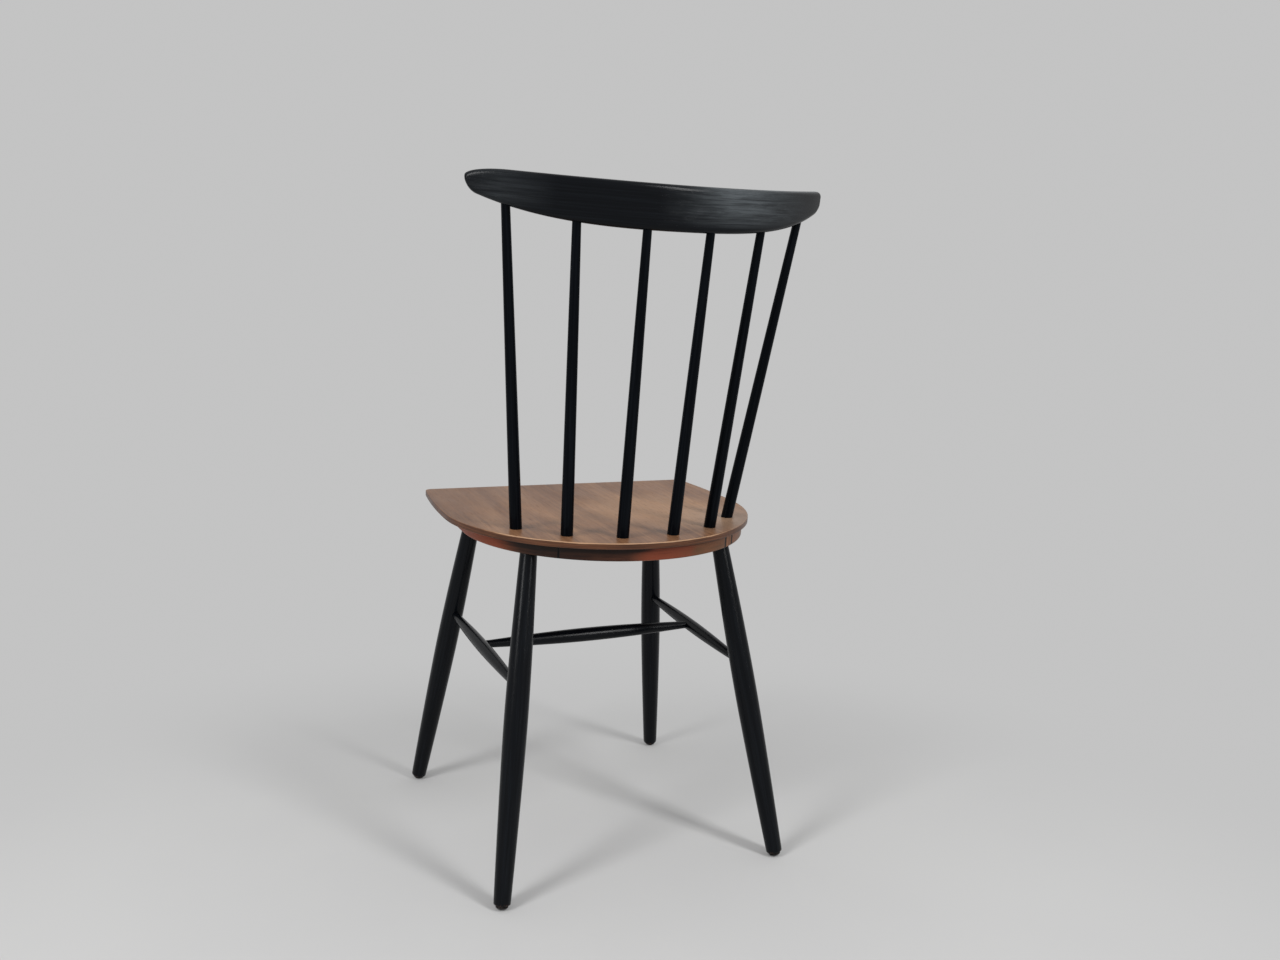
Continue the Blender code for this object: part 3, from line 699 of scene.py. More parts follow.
@dataclass(frozen=True)
class SeatShape:
    """Outline of the seat: straight front, bowed sides and half an ellipse round the back."""

    height: float = 0.440
    tilt: float = math.radians(2.5)
    width: float = 0.404
    depth: float = 0.332
    widest_line: float = 0.142
    front_narrowing: float = 0.0105
    corner_radius: float = 0.009
    table_points: int = 721

    @property
    def frame(self) -> Matrix:
        """Place of the seat's own frame in the chair's."""
        return TO_ORIGIN @ Matrix.Translation((0, 0, self.height)) @ Matrix.Rotation(-self.tilt, 4, "X")

    @property
    def half_width(self) -> float:
        """Half of the seat's width."""
        return self.width / 2

    @property
    def back_reach(self) -> float:
        """Half depth of the ellipse round the back."""
        return self.depth - self.widest_line

    @property
    def bow_radius(self) -> float:
        """Radius of the bowed sides."""
        narrowing = self.front_narrowing
        return (self.widest_line ** 2 + narrowing ** 2) / (2 * narrowing)

    def back_table(self) -> tuple[np.ndarray, np.ndarray]:
        """Table of the walk round a quarter of the back.

        Returns:
            Angles of the ellipse, and the walk from the middle of the back to each.
        """
        angles = np.linspace(0, QUARTER, self.table_points)
        speed = np.hypot(self.half_width * np.cos(angles), self.back_reach * np.sin(angles))
        steps = (speed[1:] + speed[:-1]) / 2 * np.diff(angles)
        return angles, np.concatenate([[0.0], np.cumsum(steps)])

    @property
    def back_walk(self) -> float:
        """Walk from the middle of the back to where the bowed side starts."""
        return float(self.back_table()[1][-1])

    @property
    def side_walk(self) -> float:
        """Walk along a bowed side."""
        return self.bow_radius * math.asin(self.widest_line / self.bow_radius)

    def stations(self, walks: np.ndarray) -> tuple[np.ndarray, np.ndarray]:
        """Points and outward directions on the outline.

        Args:
            walks: Distances along the outline from the middle of the back, positive to +X.

        Returns:
            Points and directions, each as (walks, 2).
        """
        angles, table = self.back_table()
        length = np.abs(walks)
        turn = np.interp(length, table, angles)
        round_back = length <= table[-1]
        bow = (length - table[-1]) / self.bow_radius
        across = np.where(round_back, self.half_width * np.sin(turn),
                          self.half_width - self.bow_radius + self.bow_radius * np.cos(bow))
        behind = np.where(round_back, self.widest_line + self.back_reach * np.cos(turn),
                          self.widest_line - self.bow_radius * np.sin(bow))
        out_x = np.where(round_back, np.sin(turn) / self.half_width, np.cos(bow))
        out_y = np.where(round_back, np.cos(turn) / self.back_reach, -np.sin(bow))
        size = np.hypot(out_x, out_y)
        side = np.where(walks < 0, -1.0, 1.0)
        return np.stack([across * side, behind], 1), np.stack([out_x / size * side, out_y / size], 1)

    def side_reach(self, back: "float | np.ndarray", inset: "float | np.ndarray") -> "float | np.ndarray":
        """How far across the bowed side lies at a distance behind the front, less an inset."""
        radius = self.bow_radius - inset
        return self.half_width - self.bow_radius + np.sqrt(radius ** 2 - (back - self.widest_line) ** 2)


def edge_profile(thickness: float, arris: float, inside: float) -> list[tuple[float, float]]:
    """Section of a board's edge.

    Args:
        thickness: Thickness of the board.
        arris: Radius of its rounded arrises.
        inside: How far in from the edge the section starts and ends.

    Returns:
        Points as (inset, height over the top face), from the top face round to the underside.
    """
    turns = [QUARTER * step / ARRIS_STEPS for step in range(ARRIS_STEPS + 1)]
    section = [(inside, 0.0)]
    section += [(arris * (1 - math.sin(turn)), -arris * (1 - math.cos(turn))) for turn in turns]
    section += [(0.0, -arris - (thickness - 2 * arris) * share) for share in (0.3, 0.5, 0.7)]
    section += [(arris * (1 - math.cos(turn)), -thickness + arris * (1 - math.sin(turn))) for turn in turns]
    section.append((inside, -thickness))
    return section


def board_rings(outline: np.ndarray, outward: np.ndarray, section: list) -> np.ndarray:
    """Rings of a board, one inside the other.

    Args:
        outline: Points of the outline.
        outward: Direction out of it at each point.
        section: Its edge, as (inset, height).

    Returns:
        A ring for each point of the section.
    """
    rings = []
    for inset, height in section:
        ring = outline - outward * inset
        rings.append(np.column_stack([ring, np.full(len(ring), height)]))
    return np.array(rings)


@dataclass(frozen=True)
class SeatPanel:
    """Teak-faced panel that is sat on."""

    shape: SeatShape = SeatShape()
    thickness: float = 0.0075
    arris: float = 0.0010
    inside: float = 0.0035
    offset: float = 0.003
    outline_points: int = 401
    corner_points: int = 13
    # Where the edge's colour, its pale wear and the painted shade near the left front corner start
    # and end: how deep below the top face, how far in from the edge, and at which walks
    lap_shift: float = 0.1
    band_top: float = 0.0008
    worn_inset: float = 0.002
    worn_top: tuple = (0.0007, 0.0015)
    worn_bottom: float = 0.0012
    bottom_wear: float = 0.4
    wear_walks: tuple = ((-0.17, 0.15), (-0.12, 0.6), (-0.06, 1.0), (0.18, 1.0), (0.25, 0.1))
    shade_walks: tuple = (0.33, 0.37)
    shade_top: tuple = (0.0004, 0.0014)

    def outline(self) -> tuple[np.ndarray, np.ndarray, np.ndarray]:
        """Outline from one front corner round the back to the other.

        Returns:
            Points, outward directions and walks.
        """
        shape = self.shape
        reach = shape.back_walk + shape.side_walk
        walks = np.linspace(reach, -reach, self.outline_points)
        points, outward = shape.stations(walks)
        corner, before, after = Vector(points[0]), Vector(points[-1]), Vector(points[1])
        to_before, to_after = (before - corner).normalized(), (after - corner).normalized()
        half = to_before.angle(to_after) / 2
        middle = (to_before + to_after).normalized()
        radius = shape.corner_radius
        centre = corner + middle * (radius / math.sin(half))
        sweep = math.pi - 2 * half
        first = math.atan2(-middle.y, -middle.x)
        turns = np.linspace(-sweep / 2, sweep / 2, self.corner_points) + first
        arc_out = np.column_stack([np.cos(turns), np.sin(turns)])
        arc = np.array(centre) + arc_out * radius
        keep = (reach - np.abs(walks)) > radius / math.tan(half)
        mirror = np.array([-1.0, 1.0])
        corner_walks = np.full(self.corner_points, reach)
        points = np.concatenate([arc, points[keep], arc[::-1] * mirror])
        outward = np.concatenate([arc_out, outward[keep], arc_out[::-1] * mirror])
        return points, outward, np.concatenate([corner_walks, walks[keep], -corner_walks])

    def build(self, finishes: Finishes) -> None:
        """Builds and dresses the panel.

        Args:
            finishes: The chair's finishes.
        """
        points, outward, walks = self.outline()
        section = edge_profile(self.thickness, self.arris, self.inside)
        rings = board_rings(points + (self.offset, 0), outward, section)
        depth = -rings[:, :, 2]
        walks = np.broadcast_to(walks, depth.shape)
        inset = np.broadcast_to(np.array(section)[:, :1], depth.shape)
        grain = rings[:, :, (0, 2, 1)]
        lap = np.stack([np.full(depth.shape, self.lap_shift), rings[:, :, 2], walks], 2)
        upper = 1 - ease(depth, *self.worn_top)
        lower = self.bottom_wear * (1 - ease(self.thickness - depth, 0.0, self.worn_bottom))
        near_edge = 1 - ease(inset, 0.0, self.worn_inset)
        masks = {EDGE_BAND_AND_PAINTED_SHEEN: ease(depth, 0.0, self.band_top),
                 WEAR: graded(walks, self.wear_walks) * near_edge * np.maximum(upper, lower),
                 SHADE_AND_JOINTS: ease(walks, *self.shade_walks) * ease(depth, *self.shade_top)}
        mesh = skin("seat board", placed(rings, self.shape.frame), masks, grain, lap)
        finishes.dress("seat_board", mesh, Slot.TEAK, "seat_panel")


@dataclass(frozen=True)
class Rim:
    """Bent rim under the panel with its end-grain key, and the straight front rail."""

    shape: SeatShape = SeatShape()
    gap: float = 0.0003
    offset: float = -0.006
    top: float = -0.0078
    height: float = 0.0190
    inset: float = 0.015
    width: float = 0.037
    edge_radius: float = 0.0028
    left_share: float = 0.4173
    right_share: float = 0.4027
    key_width: float = 0.0195
    rail_offset: float = 0.003
    rail_setback: float = 0.006
    rail_depth: float = 0.040
    rail_end_inset: float = 0.006
    rail_chamfer: tuple = (0.017, 0.011)
    rail_arris: float = 0.0015
    nib: float = 0.0004
    face_edge: tuple = (0.6, 1.4)
    edge_steps: int = 8
    back_steps: int = 96
    key_steps: int = 10
    side_steps: int = 60
    end_steps: int = 30
    middle_steps: int = 24
    rail_division: tuple = (7, 8)
    # Stretch of painted shade and dark reflection, and stretch of painted warm light, each as walks with
    # their levels
    painted_shade_walks: tuple = ((0.0, 0.0), (0.04, 0.8), (0.13, 1.0), (0.18, 0.9), (0.215, 0.35), (0.25, 0.0))
    painted_light_walks: tuple = ((-0.07, 0.0), (-0.05, 0.7), (0.0, 1.0), (0.04, 0.5), (0.18, 0.4), (0.22, 0.8),
                          (0.30, 1.0), (0.37, 0.6))
    worn_height: float = 0.0035
    shade_drops: tuple = (0.010, 0.002)
    # Dark lines of the three joints, the sitter's left one first, and the rings close to them
    seam_reach: tuple = (0.0021, 0.0033, 0.0033)
    seam_core: float = 0.24
    seam_steps: tuple = (0.0, 0.0007, 0.0014, 0.0021, 0.0033)
    seam_room: float = 0.0038
    end_worn: tuple = (0.170, 0.188)
    end_wear: float = 0.35

    @property
    def bottom(self) -> float:
        """Height of the underside over the seat's top."""
        return self.top - self.height

    def section(self) -> np.ndarray:
        """Section of the rim.

        Returns:
            Points as (inset, height), from its inner lower corner over the top and down the outside.
        """
        inner, outer, nib = self.inset + self.width, self.inset, self.nib
        points = [(inner - nib, self.bottom), (inner, self.bottom + nib), (inner, self.top - nib),
                  (inner - nib, self.top), (outer + nib, self.top), (outer, self.top - nib)]
        for share in (0.25, 0.5, 0.75):
            points.append((outer, self.top - (self.height - self.edge_radius) * share))
        for step in range(self.edge_steps + 1):
            angle = QUARTER * step / self.edge_steps
            points.append((outer + self.edge_radius * (1 - math.cos(angle)),
                           self.bottom + self.edge_radius * (1 - math.sin(angle))))
        return np.array(points)

    def rings(self, walks: np.ndarray) -> np.ndarray:
        """Sections of the rim square to the outline, in the seat's frame.

        Args:
            walks: Walk of each ring.

        Returns:
            Points as (rings, points to a ring, 3).
        """
        points, outward = self.shape.stations(walks)
        section = self.section()
        plan = points[:, None, :] - outward[:, None, :] * section[None, :, 0, None]
        plan[:, :, 0] += self.offset
        heights = np.broadcast_to(section[None, :, 1, None], plan.shape[:2] + (1,))
        return np.concatenate([plan, heights], 2)

    def patterns(self, walks: np.ndarray) -> tuple[dict, np.ndarray]:
        """Masks and grain of a bent length.

        Args:
            walks: Walk of each ring.

        Returns:
            The number attributes, and each point's place in the wood.
        """
        section = self.section()
        shape = (len(walks), len(section))
        inset = np.broadcast_to(section[None, :, 0], shape)
        height = np.broadcast_to(section[None, :, 1], shape)
        along = np.broadcast_to(walks[:, None], shape)
        outside = 1 - ease(inset, *(self.inset + self.edge_radius * share for share in self.face_edge))
        # Painted shade and dark reflection along the walk
        painted_shade_and_dark_grain = graded(walks, self.painted_shade_walks)[:, None]
        # Painted warm reflected light along the walk
        painted_warm_light = graded(walks, self.painted_light_walks)[:, None]
        low = 1 - ease(height, self.bottom, self.bottom + self.worn_height)
        # Painted shade under the panel's overhang, darkest at the top of the face
        high = ease(height, *(self.top - drop for drop in self.shade_drops))
        stain = outside * np.clip(painted_shade_and_dark_grain * (0.75 + 0.35 * high) + 0.6 * high, 0, 1)
        left, right = self.shape.back_walk * self.left_share, -self.shape.back_walk * self.right_share
        joints = np.array([left, right, right - self.key_width])
        shares = np.abs(walks[:, None] - joints) / np.array(self.seam_reach)
        seam = np.broadcast_to((1 - ease(shares.min(1), self.seam_core, 1.0))[:, None], shape)
        masks = {SHADE_AND_JOINTS: np.maximum(stain, seam), SEAM: seam, PAINTED_LIGHT: outside * painted_warm_light, WEAR: outside * low}
        return masks, np.stack([inset, height, along], 2)

    def closer_at_ends(self, start: float, end: float, steps: int) -> np.ndarray:
        """Walks along a length, closer together at each end for its seam.

        Args:
            start: Walk that the length starts from.
            end: Walk that it ends at.
            steps: Even steps that it is divided in.

        Returns:
            The walks.
        """
        length = abs(end - start)
        near = np.array(self.seam_steps)
        even = np.linspace(0, length, steps + 1)
        even = even[(even > self.seam_room) & (even < length - self.seam_room)]
        return start + math.copysign(1, end - start) * np.concatenate([near, even, (length - near)[::-1]])

    def bent_length(self, finishes: Finishes, name: str, node: str, start: float, end: float,
                    steps: int, slot: Slot) -> None:
        """Builds one bent length, half a gap short at each end.

        Args:
            finishes: The chair's finishes.
            name: Name of the piece.
            node: Solid that it stands for.
            start: Walk that it starts from.
            end: Walk that it ends at.
            steps: Even steps that it is divided in.
            slot: Material slot.
        """
        walks = self.closer_at_ends(start + self.gap / 2, end - self.gap / 2, steps)
        masks, grain = self.patterns(walks)
        mesh = skin(name, placed(self.rings(walks), self.shape.frame), masks, grain)
        finishes.dress(name, mesh, slot, node)

    def side_length(self, finishes: Finishes, name: str, node: str, side: int, first: float) -> None:
        """Builds a bent side, from a joint forward to the front rail's back face.

        Args:
            finishes: The chair's finishes.
            name: Name of the piece.
            node: Solid that it stands for.
            side: 1 for the sitter's left, -1 for the right.
            first: Length of the walk to its joint.
        """
        shape = self.shape
        end = self.rail_setback + self.rail_depth + self.gap
        inner_radius = shape.bow_radius - self.inset - self.width
        last_turn = math.asin((shape.widest_line - end - self.width / 2) / inner_radius)
        front_turn = math.asin((shape.widest_line - end) / shape.bow_radius)
        last_walk = shape.back_walk + shape.bow_radius * last_turn
        front_walk = shape.back_walk + shape.bow_radius * front_turn
        walks = self.closer_at_ends(first + self.gap / 2, last_walk, self.side_steps) * side
        section = self.section()
        across = shape.side_reach(end, section[:, 0]) * side + self.offset
        face = np.column_stack([across, np.full(len(section), end), section[:, 1]])
        rings = np.concatenate([self.rings(walks), face[None]])
        masks, grain = self.patterns(np.append(walks, front_walk * side))
        finishes.dress(name, skin(name, placed(rings, shape.frame), masks, grain), Slot.PLYWOOD, node)

    def front_rail(self, finishes: Finishes) -> None:
        """Builds the straight rail under the front edge, its ends chamfered underneath.

        Args:
            finishes: The chair's finishes.
        """
        length, drop = self.rail_chamfer
        ends = []
        for side in (-1, 1):
            end = []
            for distance in length * (1 - np.cos(np.linspace(0, QUARTER, self.end_steps))):
                loss = corner_loss(distance, self.rail_arris, self.rail_arris)
                low = self.bottom + drop * (1 - distance / length) + loss
                front, behind = self.rail_setback + loss, self.rail_setback + self.rail_depth - loss
                radius = self.rail_arris - loss * 0.6
                spots = np.array(round_box(front, behind, low, self.top - loss, radius, *self.rail_division))
                across = self.shape.side_reach(spots[:, 0], self.rail_end_inset) - distance
                end.append(np.column_stack([across * side + self.rail_offset, spots]))
            ends.append(end)
        right, left = ends[0], ends[1][::-1]
        shares = np.linspace(0, 1, self.middle_steps + 2)[1:-1]
        rings = np.array(right + [right[-1] + (left[0] - right[-1]) * share for share in shares] + left)
        wear = self.end_wear * ease(np.abs(rings[:, :, 0]), *self.end_worn)
        mesh = skin("front rail", placed(rings, self.shape.frame), {WEAR: wear}, rings[:, :, (1, 2, 0)])
        finishes.dress("front_rail", mesh, Slot.LACQUER, "rim_front")

    def build(self, finishes: Finishes) -> None:
        """Builds and dresses every length.

        Args:
            finishes: The chair's finishes.
        """
        left, right = self.shape.back_walk * self.left_share, self.shape.back_walk * self.right_share
        key_end = right + self.key_width
        self.bent_length(finishes, "bent_back", "rim_back", -right, left, self.back_steps, Slot.PLYWOOD)
        self.bent_length(finishes, "rim_packing", "rim_key", -key_end, -right, self.key_steps,
                         Slot.END_GRAIN)
        self.side_length(finishes, "bent_side_left", "rim_left", 1, left)
        self.side_length(finishes, "bent_side_right", "rim_right", -1, key_end)
        self.front_rail(finishes)


# Turned pieces


class Lathe(Graph):
    """Geometry Nodes tree that turns a piece from a straight path with a radius at each point."""

    SIZES = (("Path", "Geometry"), ("Sides", "Int"), ("Ripple", "Float"), ("Ripple Size", "Float"),
             ("Seed", "Float"), ("Billet", "Vector"), ("Finish", "Material"))
    RIPPLE_SIZE = 22.0
    BILLET_STEP = (0.37, 0.53, 0.71)

    def __init__(self) -> None:
        """Builds the tree."""
        super().__init__(bpy.data.node_groups.new("lathe", "GeometryNodeTree"))
        face = self.tree.interface
        self.keys = {}
        for label, kind in self.SIZES:
            socket = face.new_socket(label, in_out="INPUT", socket_type="NodeSocket" + kind)
            self.keys[label] = socket.identifier
        face.new_socket("Piece", in_out="OUTPUT", socket_type="NodeSocketGeometry")
        group = self.add("NodeGroupInput")
        sizes = {label: Value(self, group.outputs[label]) for label in self.keys}
        path = self.node("GeometryNodeMeshToCurve", {}, {"Mesh": sizes["Path"]})
        radius = self.node("GeometryNodeInputNamedAttribute", {"data_type": "FLOAT"}, {"Name": "radius"})
        circle = self.node("GeometryNodeCurvePrimitiveCircle", {},
                           {"Resolution": sizes["Sides"], "Radius": 1.0})
        body = self.node("GeometryNodeCurveToMesh", {},
                         {"Curve": path, "Profile Curve": circle, "Scale": radius, "Fill Caps": True})
        place = self.node("GeometryNodeInputPosition")
        spots = self.node("ShaderNodeTexNoise", {"noise_dimensions": "4D"},
                          {"Vector": place, "W": sizes["Seed"], "Scale": sizes["Ripple Size"],
                           "Detail": 1.0})
        push = self.node("ShaderNodeVectorMath", {"operation": "SCALE"},
                         {0: self.node("GeometryNodeInputNormal"), "Scale": (spots - 0.5) * sizes["Ripple"]})
        rippled = self.node("GeometryNodeSetPosition", {}, {"Geometry": body, "Offset": push})
        moved = self.node("ShaderNodeVectorMath", {"operation": "ADD"}, {0: place, 1: sizes["Billet"]})
        kept = self.node("GeometryNodeStoreNamedAttribute", {"data_type": "FLOAT_VECTOR", "domain": "POINT"},
                         {"Geometry": rippled, "Name": GRAIN, "Value": moved})
        smooth = self.node("GeometryNodeSetShadeSmooth", {}, {"Geometry": kept})
        real = self.node("GeometryNodeRealizeInstances", {}, {"Geometry": smooth})
        finish = self.node("GeometryNodeSetMaterial", {}, {"Geometry": real, "Material": sizes["Finish"]})
        self.add("NodeGroupOutput", {}, {"Piece": finish})

    def turn(self, name: str, profile: np.ndarray, sides: int, seed: int, finish: bpy.types.Material,
             ripple: float = 0.00012) -> bpy.types.Mesh:
        """Turns one piece along +Z.

        Args:
            name: Name of the mesh.
            profile: Rows of (radius, height, wear).
            sides: Faces round the piece.
            seed: Picks the ripple and the place in the wood.
            finish: Material of the piece.
            ripple: How uneven the turning is.

        Returns:
            The mesh, with its axis on +Z.
        """
        path = bpy.data.meshes.new(name + " path")
        count = len(profile)
        path.from_pydata([(0, 0, row[1]) for row in profile], [(i, i + 1) for i in range(count - 1)], [])
        for label, column in (("radius", 0), (WEAR, 2)):
            note(path, label, profile[:, column], "FLOAT", "value")
        blank = in_scene(name + " blank", path)
        turning = blank.modifiers.new("lathe", "NODES")
        turning.node_group = self.tree
        choices = {"Sides": sides, "Ripple": ripple, "Ripple Size": self.RIPPLE_SIZE, "Seed": float(seed),
                   "Billet": tuple(seed * step for step in self.BILLET_STEP), "Finish": finish}
        for label, value in choices.items():
            turning[self.keys[label]] = value
        ready = blank.evaluated_get(bpy.context.evaluated_depsgraph_get())
        mesh = bpy.data.meshes.new_from_object(ready)
        blank.modifiers.remove(turning)
        bpy.data.objects.remove(blank)
        mesh.name = name
        return faced_out(mesh)


def along(start: Vector, end: Vector) -> Matrix:
    """Matrix that puts +Z on the line from start to end, with the origin at start."""
    return Matrix.Translation(start) @ (end - start).to_track_quat("Z", "Y").to_matrix().to_4x4()


@dataclass(frozen=True)
class LegStation:
    """Where one leg starts under the seat, and how it leans."""

    label: str
    mouth: Vector
    rake: float
    splay: float


@dataclass(frozen=True)
class Glide:
    """Domed stud under a leg, worn flat where it stands."""

    radius: float = 0.0075
    edge: float = 0.0022
    dome_radius: float = 0.010
    flat_radius: float = 0.0025
    nail_radius: float = 0.0010
    nail_length: float = 0.014
    gap: float = 0.0003
    chamfer: float = 0.0003
    dome_steps: int = 14
    tip_share: float = 0.04
    wear_fade: float = 1.4
    sides: int = 32
    crease: float = 40.0
    seed_step: int = 20

    def end_height(self, steepness: float) -> float:
        """Height of the leg's end over the floor.

        Args:
            steepness: Upright share of the leg's axis.

        Returns:
            The height, with the worn flat on the floor.
        """
        centre = math.sqrt(self.dome_radius ** 2 - self.flat_radius ** 2)
        top = math.sqrt(self.dome_radius ** 2 - self.radius ** 2) - self.edge
        return centre - (top - self.gap) * steepness

    def profile(self) -> np.ndarray:
        """Rows for the lathe.

        Returns:
            (radius, height, wear) from the dome up to the nail's point.
        """
        centre = -self.gap - self.edge + math.sqrt(self.dome_radius ** 2 - self.radius ** 2)
        widest = math.asin(self.radius / self.dome_radius)
        rows = []
        for share in np.linspace(self.tip_share, 1.0, self.dome_steps):
            angle = widest * share
            rows.append((self.dome_radius * math.sin(angle), centre - self.dome_radius * math.cos(angle),
                         1.0 - min(1.0, share * self.wear_fade)))
        rows += [(self.radius, -self.gap - self.chamfer, 0.0), (self.radius - self.chamfer, -self.gap, 0.0),
                 (self.nail_radius, -self.gap, 0.0), (self.nail_radius, self.nail_length, 0.0)]
        return np.array(rows)


@dataclass(frozen=True)
class Leg:
    """Turned leg: a short neck, a belly, and a long taper to a rounded foot."""

    neck_radius: float = 0.0105
    belly_radius: float = 0.0143
    foot_radius: float = 0.0101
    belly_drop: float = 0.200
    neck_length: float = 0.005
    taper_power: float = 1.42
    foot_rounding: float = 0.0018
    shoulder: float = 0.004
    tenon_radius: float = 0.0070
    tenon_depth: float = 0.015
    glide: Glide = Glide()
    foot_steps: int = 8
    taper_steps: int = 90
    sides: int = 48
    # Wear of the foot, and two kinds that fade upwards, as level and height
    foot_wear: float = 0.60
    ring_wear: tuple = (0.58, 0.0016)
    scuff: tuple = (0.08, 0.05)

    def axis(self, station: LegStation) -> tuple[Vector, Vector, Vector]:
        """Points of the leg's axis.

        Args:
            station: Where the leg starts and how it leans.

        Returns:
            The foot end, the mouth of its socket and the point on the floor.
        """
        sideways = math.copysign(math.tan(station.splay), station.mouth.x)
        floor = station.mouth + Vector((sideways, math.tan(station.rake), -1.0)) * station.mouth.z
        up = (station.mouth - floor).normalized()
        end = floor + up * (self.glide.end_height(up.z) / up.z)
        return end, station.mouth, floor

    def radii(self, drops: np.ndarray, length: float) -> np.ndarray:
        """Radius below the socket's mouth.

        Args:
            drops: Distances below the mouth.
            length: Length of the leg below it.

        Returns:
            The radius at each distance.
        """
        rise = np.clip((drops - self.neck_length) / (self.belly_drop - self.neck_length), 0, 1)
        upper = self.neck_radius + (self.belly_radius - self.neck_radius) * np.sin(QUARTER * rise)
        share = np.clip((drops - self.belly_drop) / (length - self.belly_drop), 0, 1)
        lower = self.foot_radius + (self.belly_radius - self.foot_radius) * (1 - share ** self.taper_power)
        return np.where(drops <= self.belly_drop, upper, lower)

    def radius_at(self, station: LegStation, height: float) -> tuple[Vector, float]:
        """Finds where the axis of a leg passes a height.

        Args:
            station: Where the leg starts and how it leans.
            height: Height over the floor.

        Returns:
            The point of the axis and the radius there.
        """
        end, mouth, floor = self.axis(station)
        point = floor + (mouth - floor) * (height / mouth.z)
        drops = np.array([(mouth - point).length])
        return point, float(self.radii(drops, (mouth - end).length)[0])

    def profile(self, length: float) -> np.ndarray:
        """Rows for the lathe.

        Args:
            length: Length of the leg below its socket's mouth.

        Returns:
            (radius, height, wear) from the foot end up to the end of the tenon.
        """
        rows = []
        for angle in np.linspace(0, QUARTER, self.foot_steps):
            rows.append((self.foot_radius - self.foot_rounding * (1 - math.sin(angle)),
                         self.foot_rounding * (1 - math.cos(angle)), self.foot_wear))
        drops = np.linspace(length - self.foot_rounding, self.neck_length, self.taper_steps)[1:]
        for drop, radius in zip(drops, self.radii(drops, length)):
            height = length - drop
            wear = sum(level * math.exp(-height / fade) for level, fade in (self.ring_wear, self.scuff))
            rows.append((radius, height, wear))
        shoulder = length + self.shoulder
        rows += [(self.neck_radius, shoulder, 0.0), (self.tenon_radius, shoulder, 0.0),
                 (self.tenon_radius, length + self.tenon_depth, 0.0)]
        return np.array(rows)


@dataclass(frozen=True)
class Stretcher:
    """Cigar-shaped rod with a plain tenon at each end."""

    belly_radius: float
    tenon_radius: float = 0.0050
    neck_length: float = 0.003
    steps: int = 64
    wear: float = 0.18

    def profile(self, length: float, start_bury: float, end_bury: float) -> np.ndarray:
        """Rows for the lathe.

        Args:
            length: Length over both tenons.
            start_bury: Depth of the first tenon in its leg or rod.
            end_bury: Depth of the last one.

        Returns:
            (radius, height, wear) from end to end.
        """
        start, end = start_bury + self.neck_length, length - end_bury - self.neck_length
        rows = [(self.tenon_radius, 0.0, 0.0)]
        for share in np.linspace(0, 1, self.steps):
            swell = math.sin(math.pi * share)
            radius = self.tenon_radius + (self.belly_radius - self.tenon_radius) * swell
            rows.append((radius, start + (end - start) * share, self.wear * swell))
        rows.append((self.tenon_radius, length, 0.0))
        return np.array(rows)


